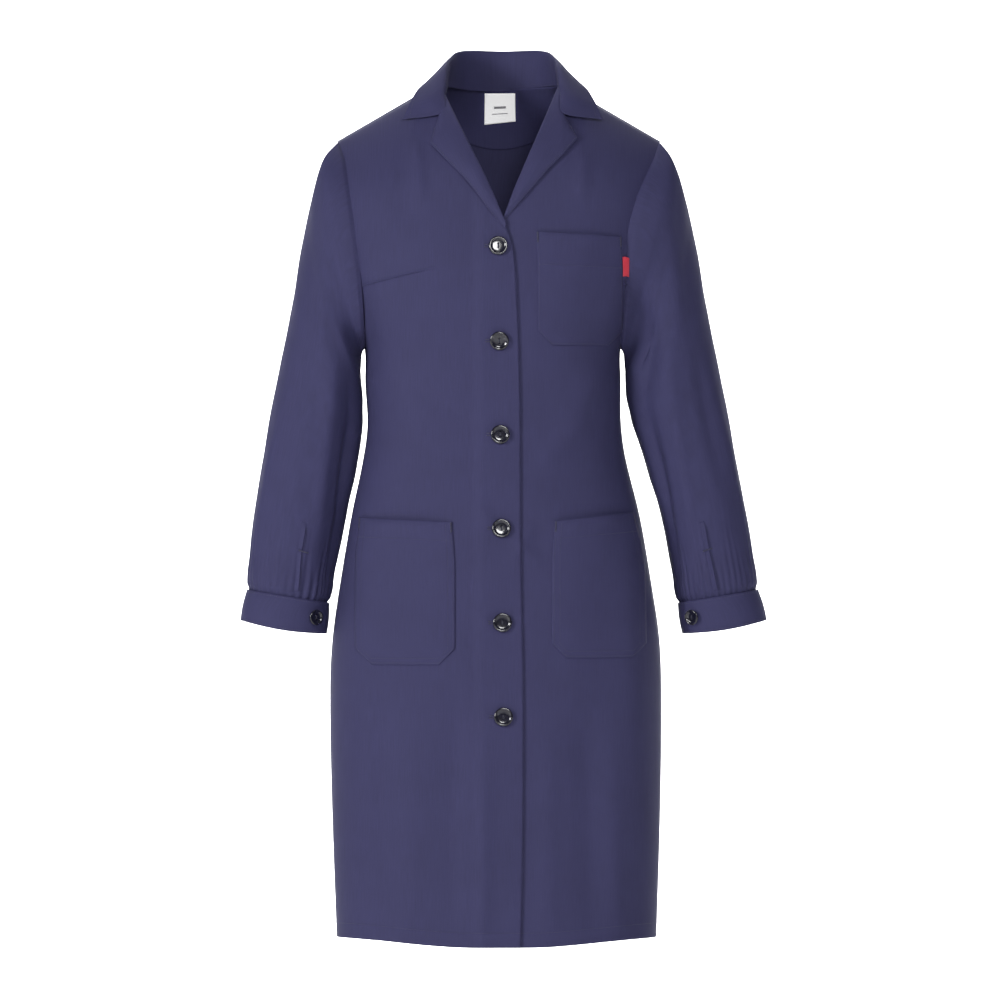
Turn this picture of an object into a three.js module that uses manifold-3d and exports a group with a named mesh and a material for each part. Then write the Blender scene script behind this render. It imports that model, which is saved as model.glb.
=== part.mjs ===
// A women's long work coat with a notched collar, six front buttons, three patch pockets and
// long sleeves with buttoned cuffs, as it hangs on a body with its front closed.
// Millimetres. The origin is the centre-back neck seam, +Z is up, the front faces -Y and the
// wearer's right side is at -X.
import * as THREE from 'three';
import { mergeVertices } from 'three/addons/utils/BufferGeometryUtils.js';
import Module from 'manifold-3d';

const wasm = await Module();
wasm.setup();

// ---------------------------------------------------------------- driving dimensions

const CLOTH = 1.6; // thickness of one made-up layer of twill
const LAYER_GAP = 0.8; // air between two layers that lie on each other
const SEAM_GAP = 0.5; // air between two panels that meet edge to edge
const LAP_LAYER = 1.15; // layer of the buttonhole band, a little proud of the first
const LAYER = CLOTH + LAYER_GAP; // rise from one layer to the next
const LOWER_ROWS = 15; // every lower front piece has the same rows, so their faces stay parallel

const HEM_Z = -1000; // bottom edge of the coat
const CUT_Z = -330; // where each front parts into a fixed upper and a swinging lower piece
const UNDERARM_Z = -300;
const SIDE_SEAM_FORWARD = 20; // how far the side seams lie in front of the middle of the body
const BODY_POWER = 2.4; // 2 is an ellipse, more is squarer
const BODY_DEPTH = 235; // front to back, where the skirt is fullest
const TABLE_DEPTH = 235; // the fullest depth that the table of levels below is drawn for

const NECK_HALF = 73; // middle of the neck to the shoulder seam's inner end
const NECK_SIDE_Z = 5;
const NECK_RISE = 35; // how far the shoulder ridge would climb inside the neck
const SHOULDER_SLOPE = 0.58;
const SHOULDER_ROUND = 110; // height over which front and back round into the shoulder
const SHOULDER_CENTRE = -1.5;

// Levels of the body: height, the wearer's right and left sides, front and back depth.
const LEVELS = [
  [10, -228, 222, 58, 97],
  [-60, -219, 217, 82, 100],
  [-120, -211, 198, 101, 104],
  [-200, -193, 173, 115, 104],
  [-260, -175, 155, 113, 101],
  [UNDERARM_Z, -158.5, 141, 109, 98],
  [-345, -157, 140.5, 103, 92],
  [-392, -154.5, 141, 98, 88],
  [-430, -159, 146, 99, 90],
  [-500, -173, 163, 104, 100],
  [-569, -185, 175, 109, 111],
  [-640, -195, 185.5, 112, 118],
  [-700, -198, 188, 113, 120],
  [-830, -196, 187, 114, 120],
  [HEM_Z, -190, 182, 115, 119],
];

const LAP_EDGE = 20; // how far the under front runs past the middle
const BAND_START = LAP_EDGE + 1; // where the buttonhole band takes over from the panel
const FRONT_EDGE = [
  [-150, 2],
  [-160, 6],
  [-189, 15],
  [-239, 19],
  [-363, 23],
  [-533, 24],
  [-702, 27],
  [HEM_Z, 24],
];
const BREAK_Z = -158; // where the lapels roll open
const BREAK_X = 3;
const ROLL_TOP_X = 66;
const ROLL_TOP_Z = -10;
const FACING_WIDTH = 75;

const BUTTON_R = 11;
const BUTTON_THICK = 3.6;
const BUTTON_DISH = 1.3;
const CUFF_BUTTON_R = 9;
const HOLE_R = 1.5;
const HOLE_SPACING = 4.8;
const THREAD_CLEARANCE = 0.4;
const BUTTON_LIFT = 1; // air between a button and the cloth under it
const BUTTONHOLE_SLACK = 0.6; // room round the thread in its buttonhole
const FIRST_BUTTON_Z = -186;
const BUTTON_PITCH = 109.2;
const BUTTON_COUNT = 6;
const BUTTON_DRIFT = 1.2; // the row of buttons leans this far to the wearer's left each step
const BUTTON_START_X = -2;
const FIXED_BUTTONS = 2; // buttons above the cut

const POCKET_BULGE = 10; // how far a pocket's cloth can stand off the coat
const CHEST_POCKET = { inner: 42, outer: 140, top: -171, bottom: -300, chamfer: 16 };
const RIGHT_POCKET = { inner: -53, outer: -164, top: -504, bottom: -670, chamfer: 19 };
const LEFT_POCKET = { inner: 61, outer: 165, top: -502, bottom: -663, chamfer: 18 };
const POCKET_CLEAR = 7; // a pocket keeps this far from the side seam
const TAB_WIDTH = 8;
const TAB_HEIGHT = 22;
const TAB_TOP = -198;

const LABEL_HALF = 18.7;
const LABEL_DROP = 33;
const NECK_FACING_DROP = 70;

const CUFF_HEIGHT = 36;
const CUFF_LAP = 24; // overlap of the two ends of a cuff, in degrees
const CUFF_EASE = 2; // how much smaller than the gathered sleeve a cuff is, all round
const PLACKET_WIDTH = 11;
const PLACKET_LENGTH = 88;
const CUFF_START = 0.66; // where the cuff's under end lies round the sleeve, from its outer edge
const PLACKET_LAYER = 1.4; // a placket lies inside its sleeve, this many layers in
const CUFF_BUTTON_TURN = 0.96; // where the cuff's button lies along the cuff
const SLEEVE_SEAM = 1.8; // air between a sleeve and the armhole it is sewn into

// One entry for each arm. armhole and outer are [x, z] points of the armhole seam and of the
// sleeve's outer edge, gap is the air between the body's side and the sleeve's inner edge.
const ARMS = {
  right: {
    side: -1,
    placket: 0.722, // where the placket lies round the sleeve, from its outer edge
    armhole: [[190, -62], [182, -84], [176, -118], [168, -175], [162, -233], [158.5, UNDERARM_Z]],
    outer: [[192, -63], [203, -79], [214, -107], [224, -147], [242, -247], [256, -317], [269, -387],
      [281, -457], [291, -527], [296, -586]],
    gap: [[UNDERARM_Z, 6], [-345, 5], [-387, 5], [-457, 6], [-527, 6], [-600, 8], [-640, 10]],
  },
  left: {
    side: 1,
    placket: 0.745,
    armhole: [[187, -62], [181, -80], [169, -106], [159, -131], [149, -169], [145, -212],
      [141, UNDERARM_Z]],
    outer: [[189, -63], [198, -79], [210, -107], [221, -147], [240, -247], [254, -317], [267, -387],
      [280, -457], [293, -527], [302, -586]],
    gap: [[UNDERARM_Z, 6], [-345, 6], [-387, 12], [-429, 21], [-499, 25], [-600, 26], [-640, 27]],
  },
};
const SLEEVE_INNER_Z = -602; // cuff seam at the inner edge
const SLEEVE_DEPTH = [[0, 64], [0.3, 62], [0.6, 55], [1, 43]]; // half depth along the sleeve
const SLEEVE_CREEP = 2.4; // how long the sleeve's rings stay slanted below the armhole

// Collar stations from the centre back to the front end: neck seam, roll edge, middle of the
// leaf and leaf edge, each as [x, y, z] on the wearer's left.
const COLLAR = [
  [[0, 0, 5], [0, 3, 44.5], [0, 15, 20], [0, 19, -14]],
  [[40, -20, 6.5], [42, -14, 44.5], [52, -2, 20], [56, -3, -10]],
  [[64, -58, 10], [57, -45, 38], [76, -42, 20], [86, -50, 4]],
  [[65, -80, 7], [66, -80, 24], [86, -84, 12], [97, -88, 0]],
  [[61, -92, -1], [68, -104, 5], [84, -117, -10], [107, -108, -17]],
  [[57, -95, -11], [67, -117, -10], [72, -134, -31], [117, -122, -38]],
];
const COLLAR_CENTRE = 3;
const COLLAR_CLOTH = 1;
const COLLAR_CORE = 0.5;
const CORE_FROM = 0.5; // the interfacing stiffens the leaf, from just outside the roll edge
const COLLAR_ROWS = 8;
const COLLAR_COLUMNS = 14;
const COLLAR_GAP = 0.5;

const TWILL = { color: 0x3a385c, roughness: 0.82, metalness: 0 };
const TWILL_INSIDE = { color: 0x34325a, roughness: 0.85, metalness: 0 };
const CANVAS = { color: 0xd8d6cf, roughness: 0.9, metalness: 0 };
const BUTTON_PLASTIC = { color: 0x10101c, roughness: 0.18, metalness: 0 };
const THREAD = { color: 0x25243f, roughness: 0.7, metalness: 0 };
const LABEL_SATIN = { color: 0xf1f0ee, roughness: 0.55, metalness: 0 };
const TAB_RED = { color: 0xc4283c, roughness: 0.6, metalness: 0 };

// ---------------------------------------------------------------- curves

// Smooth curve through [at, value] pairs, whichever way round they run.
function track(pairs) {
  const rows = [...pairs].sort((p, q) => p[0] - q[0]);
  const at = rows.map((row) => row[0]);
  const slope = rows.map((row, i) => {
    const before = rows[Math.max(i - 1, 0)];
    const after = rows[Math.min(i + 1, rows.length - 1)];
    return (after[1] - before[1]) / (after[0] - before[0]);
  });
  return (x) => {
    const t = Math.min(Math.max(x, at[0]), at[at.length - 1]);
    let i = 0;
    while (i < at.length - 2 && t > at[i + 1]) i += 1;
    const width = at[i + 1] - at[i];
    const s = (t - at[i]) / width;
    const up = s * s * (3 - 2 * s);
    const lift = s * (1 - s) * (1 - s) * width * slope[i];
    const drop = s * s * (1 - s) * width * slope[i + 1];
    return rows[i][1] * (1 - up) + rows[i + 1][1] * up + lift - drop;
  };
}

const mix = (a, b, t) => a + (b - a) * t;
const clamp01 = (t) => Math.min(Math.max(t, 0), 1);
const ease = (t) => clamp01(t) * clamp01(t) * (3 - 2 * clamp01(t));

// ---------------------------------------------------------------- the body that the coat lies on

const rightSide = track(LEVELS.map((level) => [level[0], level[1]]));
const leftSide = track(LEVELS.map((level) => [level[0], level[2]]));
const fuller = BODY_DEPTH / TABLE_DEPTH;
const frontDepth = track(LEVELS.map((level) => [level[0], level[3] * fuller]));
const backDepth = track(LEVELS.map((level) => [level[0], level[4] * fuller]));

const sidePower = (t) => Math.sign(t) * Math.abs(t) ** (2 / BODY_POWER);
const sideRoot = (t) => Math.sign(t) * Math.min(Math.abs(t), 1) ** (BODY_POWER / 2);

// Height of the shoulder ridge over x: it slopes outside the neck and climbs inside it.
function ridge(x) {
  const out = Math.abs(x - SHOULDER_CENTRE);
  if (out > NECK_HALF) return NECK_SIDE_Z - SHOULDER_SLOPE * (out - NECK_HALF);
  return NECK_SIDE_Z + NECK_RISE * ease(1 - out / NECK_HALF);
}

// 0 on the shoulder ridge and 1 once the surface has rounded down into the front or back.
function rounding(x, z) {
  const t = clamp01((ridge(x) - z) / SHOULDER_ROUND);
  return Math.sqrt(t * (2 - t));
}

// The middle of the body lies as far in front of the nape as puts the nape at y = 0.
const MIDDLE_Y = -backDepth(0) * rounding(0, 0);

// A point of the body at a height, by turn: 0 is the centre back, +90 degrees the wearer's
// right side, -90 the left side and 180 the centre front.
function bodyAt(turn, z) {
  const centre = (rightSide(z) + leftSide(z)) / 2;
  const half = (leftSide(z) - rightSide(z)) / 2;
  const x = centre - half * sidePower(Math.sin(turn));
  const depth = Math.cos(turn) > 0 ? backDepth(z) : frontDepth(z);
  const y = MIDDLE_Y + depth * sidePower(Math.cos(turn)) * rounding(x, z);
  return new THREE.Vector3(x, y, z);
}

// The turn of the front or back point that has this x.
function turnOf(x, z, front) {
  const centre = (rightSide(z) + leftSide(z)) / 2;
  const half = (leftSide(z) - rightSide(z)) / 2;
  const turn = Math.asin(sideRoot((centre - x) / half));
  return front ? Math.PI - turn : turn;
}

const frontAt = (x, z) => bodyAt(turnOf(x, z, true), z);
const backAt = (x, z) => bodyAt(turnOf(x, z, false), z);

// x of a side seam: side is -1 for the wearer's right and 1 for the left.
function seamX(z, side) {
  const centre = (rightSide(z) + leftSide(z)) / 2;
  const half = (leftSide(z) - rightSide(z)) / 2;
  const share = (1 - (SIDE_SEAM_FORWARD / frontDepth(z)) ** BODY_POWER) ** (1 / BODY_POWER);
  return centre + side * half * share;
}

const armholeX = {};
const outerRail = {};
for (const [name, arm] of Object.entries(ARMS)) {
  armholeX[name] = track(arm.armhole.map(([x, z]) => [z, x * arm.side]));
  outerRail[name] = track(arm.outer.map(([x, z]) => [z, x * arm.side]));
}

// ---------------------------------------------------------------- solids

// A closed slab between two offsets of a surface. surface(u, v) gives a point for u and v from
// 0 to 1, and outward is 1 or -1, whichever way its cross product has to be turned.
function slab(surface, columns, rows, from, to, outward, ring = false) {
  const step = 1e-3;
  const stretch = new THREE.Vector3();
  const climb = new THREE.Vector3();
  const near = (u, v, du, dv, into) => {
    const before = surface(ring ? u - du : Math.max(u - du, 0), Math.max(v - dv, 0));
    const after = surface(ring ? u + du : Math.min(u + du, 1), Math.min(v + dv, 1));
    return into.subVectors(after, before);
  };
  const across = ring ? columns : columns + 1;
  const positions = [];
  for (const offset of [from, to]) {
    for (let j = 0; j <= rows; j += 1) {
      for (let i = 0; i < across; i += 1) {
        const u = i / columns;
        const v = j / rows;
        near(u, v, step, 0, stretch);
        near(u, v, 0, step, climb);
        const normal = stretch.clone().cross(climb).normalize().multiplyScalar(outward);
        const shift = typeof offset === 'function' ? offset(u, v) : offset;
        const point = surface(u, v).addScaledVector(normal, shift);
        positions.push(point.x, point.y, point.z);
      }
    }
  }
  const at = (top, i, j) => top * across * (rows + 1) + j * across + (i % across);
  const index = [];
  const quad = (a, b, c, d) => {
    if (outward > 0) index.push(a, b, c, a, c, d);
    else index.push(a, c, b, a, d, c);
  };
  for (let j = 0; j < rows; j += 1) {
    for (let i = 0; i < columns; i += 1) {
      quad(at(1, i, j), at(1, i + 1, j), at(1, i + 1, j + 1), at(1, i, j + 1));
      quad(at(0, i, j), at(0, i, j + 1), at(0, i + 1, j + 1), at(0, i + 1, j));
    }
    if (!ring) {
      quad(at(0, 0, j), at(1, 0, j), at(1, 0, j + 1), at(0, 0, j + 1));
      quad(at(0, columns, j), at(0, columns, j + 1), at(1, columns, j + 1), at(1, columns, j));
    }
  }
  for (let i = 0; i < columns; i += 1) {
    quad(at(0, i, 0), at(0, i + 1, 0), at(1, i + 1, 0), at(1, i, 0));
    quad(at(0, i, rows), at(1, i, rows), at(1, i + 1, rows), at(0, i + 1, rows));
  }
  const geometry = new THREE.BufferGeometry();
  geometry.setAttribute('position', new THREE.Float32BufferAttribute(positions, 3));
  geometry.setIndex(index);
  return geometry;
}

// Slab of cloth that counts its layers outwards from the body: layer 0 is the coat's own cloth.
function layered(surface, columns, rows, layer, outward, ring = false) {
  return slab(surface, columns, rows, layer * LAYER, layer * LAYER + CLOTH, outward, ring);
}

function toManifold(geometry) {
  const bare = geometry.clone();
  for (const name of Object.keys(bare.attributes)) {
    if (name !== 'position') bare.deleteAttribute(name);
  }
  const merged = mergeVertices(bare, 1e-4);
  return new wasm.Manifold(new wasm.Mesh({
    numProp: 3,
    vertProperties: new Float32Array(merged.attributes.position.array),
    triVerts: new Uint32Array(merged.index.array),
  }));
}

function fromManifold(solid) {
  const mesh = solid.getMesh();
  const geometry = new THREE.BufferGeometry();
  geometry.setAttribute('position', new THREE.BufferAttribute(mesh.vertProperties, 3));
  geometry.setIndex(new THREE.BufferAttribute(mesh.triVerts, 1));
  return geometry;
}

const group = new THREE.Group();

function add(name, geometry, finish, place = null) {
  const flat = geometry.index ? geometry.toNonIndexed() : geometry;
  flat.computeVertexNormals();
  const mesh = new THREE.Mesh(flat, new THREE.MeshStandardMaterial(finish));
  mesh.name = name;
  if (place) mesh.applyMatrix4(place);
  group.add(mesh);
}

// ---------------------------------------------------------------- back

// Height of the back panel's top edge: the shoulder seam outside the neck, the neck seam inside.
function backTop(x) {
  const out = Math.abs(x - SHOULDER_CENTRE);
  return out > NECK_HALF ? ridge(x) : NECK_SIDE_Z * ease(out / NECK_HALF);
}

// The turn of the back's edge at a height: the armhole, or the side seam below it.
function backEdgeTurn(z, name) {
  const { side } = ARMS[name];
  if (z > UNDERARM_Z) return turnOf(armholeX[name](z), z, false);
  const turn = turnOf(seamX(z, side), z, true);
  return side < 0 ? turn : turn - 2 * Math.PI;
}

const BACK_TIP_Z = -64; // the back starts just inside the tips of the shoulders

function backPanel(u, v) {
  const yoke = 0.46;
  const swing = (turn, edge) => mix(turn, edge, 0.5 - 0.5 * Math.cos(Math.PI * u));
  if (v >= yoke) {
    const z = mix(UNDERARM_Z - 1, HEM_Z, (v - yoke) / (1 - yoke));
    const turn = swing(backEdgeTurn(z, 'left'), backEdgeTurn(z, 'right'));
    const point = bodyAt(turn, z);
    return point.add(new THREE.Vector3(0, SEAM_GAP / 2, 0));
  }
  const t = (v / yoke) ** 1.35;
  const level = mix(BACK_TIP_Z, UNDERARM_Z, t);
  const x = mix(armholeX.left(level), armholeX.right(level), 0.5 - 0.5 * Math.cos(Math.PI * u));
  const lift = (backTop(x) - BACK_TIP_Z) * (1 - t) ** 1.5;
  const point = backAt(x, Math.min(level + lift, backTop(x)));
  return point.add(new THREE.Vector3(0, SEAM_GAP / 2, 0));
}

add('back_panel', layered(backPanel, 20, 20, 0, -1), TWILL);

// ---------------------------------------------------------------- fronts

const frontEdge = track(FRONT_EDGE);

// x of the roll line, where a lapel folds back, at a height.
const rollX = (z) => mix(ROLL_TOP_X, BREAK_X, (ROLL_TOP_Z - z) / (ROLL_TOP_Z - BREAK_Z));

const ROLL_LEAN = (ROLL_TOP_Z - BREAK_Z) / (ROLL_TOP_X - BREAK_X);
const BAND_TOP = BREAK_Z + (BAND_START - BREAK_X) * ROLL_LEAN - 8;
const LAP_BREAK_Z = BREAK_Z - (BREAK_X + LAP_EDGE) * ROLL_LEAN;

// x of the outer side of a front at a height: the armhole, or the side seam below it.
function frontOuterX(z, name) {
  const { side } = ARMS[name];
  const seam = seamX(z, side);
  if (z < UNDERARM_Z) return seam;
  return side < 0 ? Math.max(armholeX[name](z), seam) : Math.min(armholeX[name](z), seam);
}

// x of the inner side of a front's own panel: the roll line, then the lap.
function frontInnerX(z, name) {
  if (name === 'left') return Math.max(rollX(z), -LAP_EDGE);
  return Math.min(-rollX(z), -BAND_START);
}

function frontUpper(name) {
  const { side } = ARMS[name];
  const tip = armholeX[name](ARMS[name].armhole[0][1]);
  const neck = ridge(side * NECK_HALF);
  return (u, v) => {
    const near = 1 - (1 - v) ** 1.2;
    const outerZ = mix(ridge(tip), CUT_Z, near);
    const innerZ = mix(neck, CUT_Z, near);
    const outerX = frontOuterX(outerZ, name);
    const innerX = frontInnerX(innerZ, name);
    const across = 1 - Math.cos(Math.PI * 0.5 * u);
    const x = mix(outerX, innerX, mix(u, across, 0.5));
    const z = mix(outerZ, innerZ, (x - outerX) / (innerX - outerX));
    const point = frontAt(x, Math.min(z, ridge(x)));
    return point.add(new THREE.Vector3(0, -SEAM_GAP / 2, 0));
  };
}

// Height down a lower front, with closer rows at the waist.
const lowerZ = (v) => mix(CUT_Z - SEAM_GAP, HEM_Z, v ** 1.25);
const upperBandZ = (v) => mix(BAND_TOP, CUT_Z, v);

function frontLower(name) {
  const { side } = ARMS[name];
  return (u, v) => {
    const z = lowerZ(v);
    const outerX = seamX(z, side);
    const innerX = frontInnerX(z, name);
    const start = turnOf(outerX, z, true);
    const end = turnOf(innerX, z, true);
    const point = bodyAt(mix(start, end, u), z);
    return point.add(new THREE.Vector3(0, -SEAM_GAP / 2, 0));
  };
}

for (const name of ['right', 'left']) {
  const outward = name === 'right' ? -1 : 1;
  add(`${name}_front_upper`, layered(frontUpper(name), 8, 12, 0, outward), TWILL);
  add(`${name}_front_lower`, layered(frontLower(name), 8, LOWER_ROWS, 0, outward), TWILL);
}

// Point of the front over a rectangle of x and z, u to the wearer's left and v downwards.
const frontPatch = (xAt, zAt) => (u, v) => {
  const z = zAt(u, v);
  return frontAt(xAt(u, z), z);
};

const buttonX = (i) => BUTTON_START_X + BUTTON_DRIFT * i;
const buttonZ = (i) => FIRST_BUTTON_Z - BUTTON_PITCH * i;

// A frame whose +Z stands out of the front, with its origin a rise above the body.
function standOn(point, normal, rise) {
  const up = new THREE.Vector3(0, 0, 1);
  const across = up.clone().cross(normal).normalize();
  const along = normal.clone().cross(across);
  const place = new THREE.Matrix4().makeBasis(across, along, normal);
  return place.setPosition(point.clone().addScaledVector(normal, rise));
}

function frontNormal(x, z) {
  const step = 0.5;
  const alongX = frontAt(x + step, z).sub(frontAt(x - step, z));
  const alongZ = frontAt(x, z + step).sub(frontAt(x, z - step));
  return alongX.cross(alongZ).normalize();
}

const THREAD_R = HOLE_SPACING / 2 + HOLE_R - THREAD_CLEARANCE;

// The buttonhole band is one strip that laps over the under front, with a slit at each button.
function bandWithHoles(heightAt, rows, first, last) {
  const xAt = (u, z) => mix(-BAND_START, Math.min(frontEdge(z), -rollX(z) + 2 * BREAK_X), u);
  const closed = (u, z) => mix(-BAND_START, frontEdge(z), u);
  const edge = (u, z) => (z > BREAK_Z ? xAt(u, z) : closed(u, z));
  const strip = layered(frontPatch(edge, (u, v) => heightAt(v)), 3, rows, LAP_LAYER, -1);
  let solid = toManifold(strip);
  for (let i = first; i <= last; i += 1) {
    const reach = THREAD_R + BUTTONHOLE_SLACK;
    const slit = new THREE.BoxGeometry(BUTTON_R + 2 * reach, 2 * reach, 6 * CLOTH);
    slit.translate(-BUTTON_R / 2, 0, 0);
    const z = buttonZ(i);
    slit.applyMatrix4(standOn(frontAt(buttonX(i), z), frontNormal(buttonX(i), z), LAYER));
    solid = solid.subtract(toManifold(slit));
  }
  return fromManifold(solid);
}

add('right_band_upper', bandWithHoles(upperBandZ, 6, 0, FIXED_BUTTONS - 1), TWILL);
add('right_band_lower', bandWithHoles(lowerZ, LOWER_ROWS, FIXED_BUTTONS, BUTTON_COUNT - 1), TWILL);

// Facings: the strip of cloth that backs each front edge, inside the coat.
const FACING_SHARE = 0.96; // a facing stops just inside the panel it backs
function facing(name, heightAt, rows) {
  const inner = name === 'left' ? -LAP_EDGE * FACING_SHARE : -BAND_START - 1;
  const outer = name === 'left' ? FACING_WIDTH - LAP_EDGE : -BAND_START - FACING_WIDTH;
  const [low, high] = name === 'left' ? [inner, outer] : [outer, inner];
  const strip = frontPatch((u) => mix(low, high, u), (u, v) => heightAt(v));
  return layered(strip, 4, rows, -1, -1);
}

const FACING_TOP = LAP_BREAK_Z - 25;
for (const name of ['right', 'left']) {
  add(`${name}_facing_upper`, facing(name, (v) => mix(FACING_TOP, CUT_Z, v), 4), TWILL_INSIDE);
  add(`${name}_facing_lower`, facing(name, lowerZ, LOWER_ROWS), TWILL_INSIDE);
}

// ---------------------------------------------------------------- lapels and collar

// Lapel outer edge from the gorge seam past the notch and the tip to the break, [x, z].
const GORGE_DROP = 18; // the lapel starts this far below the top of the roll line
const LAPEL_EDGE = [[75, -43], [86, -66], [64, -87], [44, -111], [24, -136], [7, -160]];

function lapel(side) {
  const edgeX = track(LAPEL_EDGE.map(([x], i) => [i / (LAPEL_EDGE.length - 1), x]));
  const edgeZ = track(LAPEL_EDGE.map(([, z], i) => [i / (LAPEL_EDGE.length - 1), z]));
  return (u, v) => {
    const rollZ = mix(ROLL_TOP_Z - GORGE_DROP, BREAK_Z + 6, v);
    const x = mix(rollX(rollZ), edgeX(v), u);
    const z = mix(rollZ, edgeZ(v), u);
    return frontAt(side * x, z);
  };
}

const LAPEL_LAYERS = { right: 2.2, left: 1.4 }; // the right one lies higher, on the lap
add('right_lapel', layered(lapel(-1), 5, 9, LAPEL_LAYERS.right, 1), TWILL);
add('left_lapel', layered(lapel(1), 5, 9, LAPEL_LAYERS.left, -1), TWILL);

const rails = [0, 1, 2, 3].map((k) => {
  const mirrored = COLLAR.slice(1).reverse().map((row) => [-row[k][0], row[k][1], row[k][2]]);
  const own = COLLAR.map((row) => row[k]);
  const stations = [...mirrored, ...own];
  const points = stations.map(([x, y, z]) => new THREE.Vector3(x + COLLAR_CENTRE, y * fuller, z));
  return new THREE.CatmullRomCurve3(points, false, 'catmullrom', 0.5);
});

// The collar: u runs along the neck and v from the neck seam over the roll edge to the leaf edge.
function collar(u, v) {
  const section = rails.map((rail) => rail.getPoint(u));
  return new THREE.CatmullRomCurve3(section, false, 'centripetal').getPoint(v);
}

const collarLeaf = (u, v) => collar(u, mix(CORE_FROM, 1, v));
const leafRows = COLLAR_ROWS * (1 - CORE_FROM);
const core = COLLAR_CORE / 2;
const skin = core + COLLAR_GAP;
add('under_collar', slab(collar, COLLAR_COLUMNS, COLLAR_ROWS, -skin - COLLAR_CLOTH, -skin, 1), TWILL);
add('collar_interfacing', slab(collarLeaf, COLLAR_COLUMNS, leafRows, -core, core, 1), CANVAS);
add('upper_collar', slab(collar, COLLAR_COLUMNS, COLLAR_ROWS, skin, skin + COLLAR_CLOTH, 1), TWILL);

// ---------------------------------------------------------------- inside the neck

function neckFacing(u, v) {
  const x = mix(NECK_HALF - 12, -NECK_HALF + 12, u);
  const top = backTop(x) - 2;
  const drop = NECK_FACING_DROP * Math.sqrt(1 - (0.75 * (2 * u - 1)) ** 2);
  return backAt(x, mix(top, top - drop, v));
}
const NECK_FACING_LAYER = -2.7; // clear of the back panel's flat faces
add('back_neck_facing', layered(neckFacing, 12, 8, NECK_FACING_LAYER, -1), TWILL_INSIDE);

const LABEL_TOP = -3;
const LABEL_LAYERS = { back: -3.4, face: -3.8 }; // the label hangs on the neck facing
const labelZ = (v) => mix(LABEL_TOP, LABEL_TOP - LABEL_DROP, v);
const label = (u, v) => backAt(mix(LABEL_HALF, -LABEL_HALF, u), labelZ(v));
const labelSlab = slab(label, 3, 4, LABEL_LAYERS.face * LAYER, LABEL_LAYERS.back * LAYER, -1);
add('neck_label', labelSlab, LABEL_SATIN);

// ---------------------------------------------------------------- pockets

// A patch pocket with two cut corners: sewn down at its sides and foot, loose at its mouth.
function pocket(shape) {
  const left = Math.min(shape.inner, shape.outer);
  const right = Math.max(shape.inner, shape.outer);
  return (u, v) => {
    const z = mix(shape.top, shape.bottom, v);
    const cut = Math.max(0, shape.chamfer - (z - shape.bottom));
    const low = Math.max(left, seamX(z, -1) + POCKET_CLEAR) + cut;
    const high = Math.min(right, seamX(z, 1) - POCKET_CLEAR) - cut;
    return frontAt(mix(low, high, u), z);
  };
}

function pocketSolid(shape) {
  const stand = (u, v) => POCKET_BULGE * Math.sin(Math.PI * u) ** 0.6 * (1 - v ** 6) ** 0.5;
  const lift = LAYER + LAYER_GAP;
  const from = (u, v) => lift + stand(u, v);
  const to = (u, v) => lift + stand(u, v) + CLOTH;
  return slab(pocket(shape), 8, 8, from, to, -1);
}

add('chest_pocket', pocketSolid(CHEST_POCKET), TWILL);
add('right_lower_pocket', pocketSolid(RIGHT_POCKET), TWILL);
add('left_lower_pocket', pocketSolid(LEFT_POCKET), TWILL);

const tabX = CHEST_POCKET.outer + SEAM_GAP;
add(
  'pocket_tab',
  slab(
    frontPatch((u) => mix(tabX, tabX + TAB_WIDTH, u), (u, v) => mix(TAB_TOP, TAB_TOP - TAB_HEIGHT, v)),
    2, 2, 2 * LAYER, 2 * LAYER + 1, -1,
  ),
  TAB_RED,
);

// ---------------------------------------------------------------- buttons

// A dished button with a rolled rim, its back at z = 0, and two holes one above the other.
function buttonSolid(radius) {
  const dish = BUTTON_THICK - BUTTON_DISH;
  const profile = [
    [0, 0],
    [radius * 0.72, 0],
    [radius * 0.93, BUTTON_THICK * 0.35],
    [radius, BUTTON_THICK * 0.65],
    [radius * 0.95, BUTTON_THICK * 0.93],
    [radius * 0.86, BUTTON_THICK],
    [radius * 0.74, BUTTON_THICK * 0.9],
    [radius * 0.62, dish],
    [0, dish],
  ].map(([r, z]) => new THREE.Vector2(r, z));
  const turned = new THREE.LatheGeometry(profile, 14).rotateX(Math.PI / 2);
  let solid = toManifold(turned);
  if (solid.volume() < 0) throw new Error('the button is inside out');
  for (const side of [-1, 1]) {
    const hole = new THREE.CylinderGeometry(HOLE_R, HOLE_R, 3 * BUTTON_THICK, 10).rotateX(Math.PI / 2);
    hole.translate(0, side * HOLE_SPACING / 2, 0);
    solid = solid.subtract(toManifold(hole));
  }
  return fromManifold(solid);
}

// The sewing: a shank under the button, a stitch up each hole and a bar between them on top.
function threadSolid(shank) {
  const dish = BUTTON_THICK - BUTTON_DISH;
  const stitchR = HOLE_R - THREAD_CLEARANCE;
  const bar = 0.9;
  const top = dish + THREAD_CLEARANCE;
  const base = new THREE.CylinderGeometry(THREAD_R, THREAD_R, shank, 10).rotateX(Math.PI / 2);
  base.translate(0, 0, -LAYER_GAP / 2 - shank / 2);
  let solid = toManifold(base);
  for (const side of [-1, 1]) {
    const rise = top + bar + LAYER_GAP / 2 + shank / 2;
    const stitch = new THREE.CylinderGeometry(stitchR, stitchR, rise, 8).rotateX(Math.PI / 2);
    stitch.translate(0, side * HOLE_SPACING / 2, top + bar - rise / 2);
    solid = solid.add(toManifold(stitch));
  }
  const over = new THREE.BoxGeometry(stitchR, HOLE_SPACING, bar);
  over.translate(0, 0, top + bar / 2);
  return fromManifold(solid.add(toManifold(over)));
}

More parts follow.
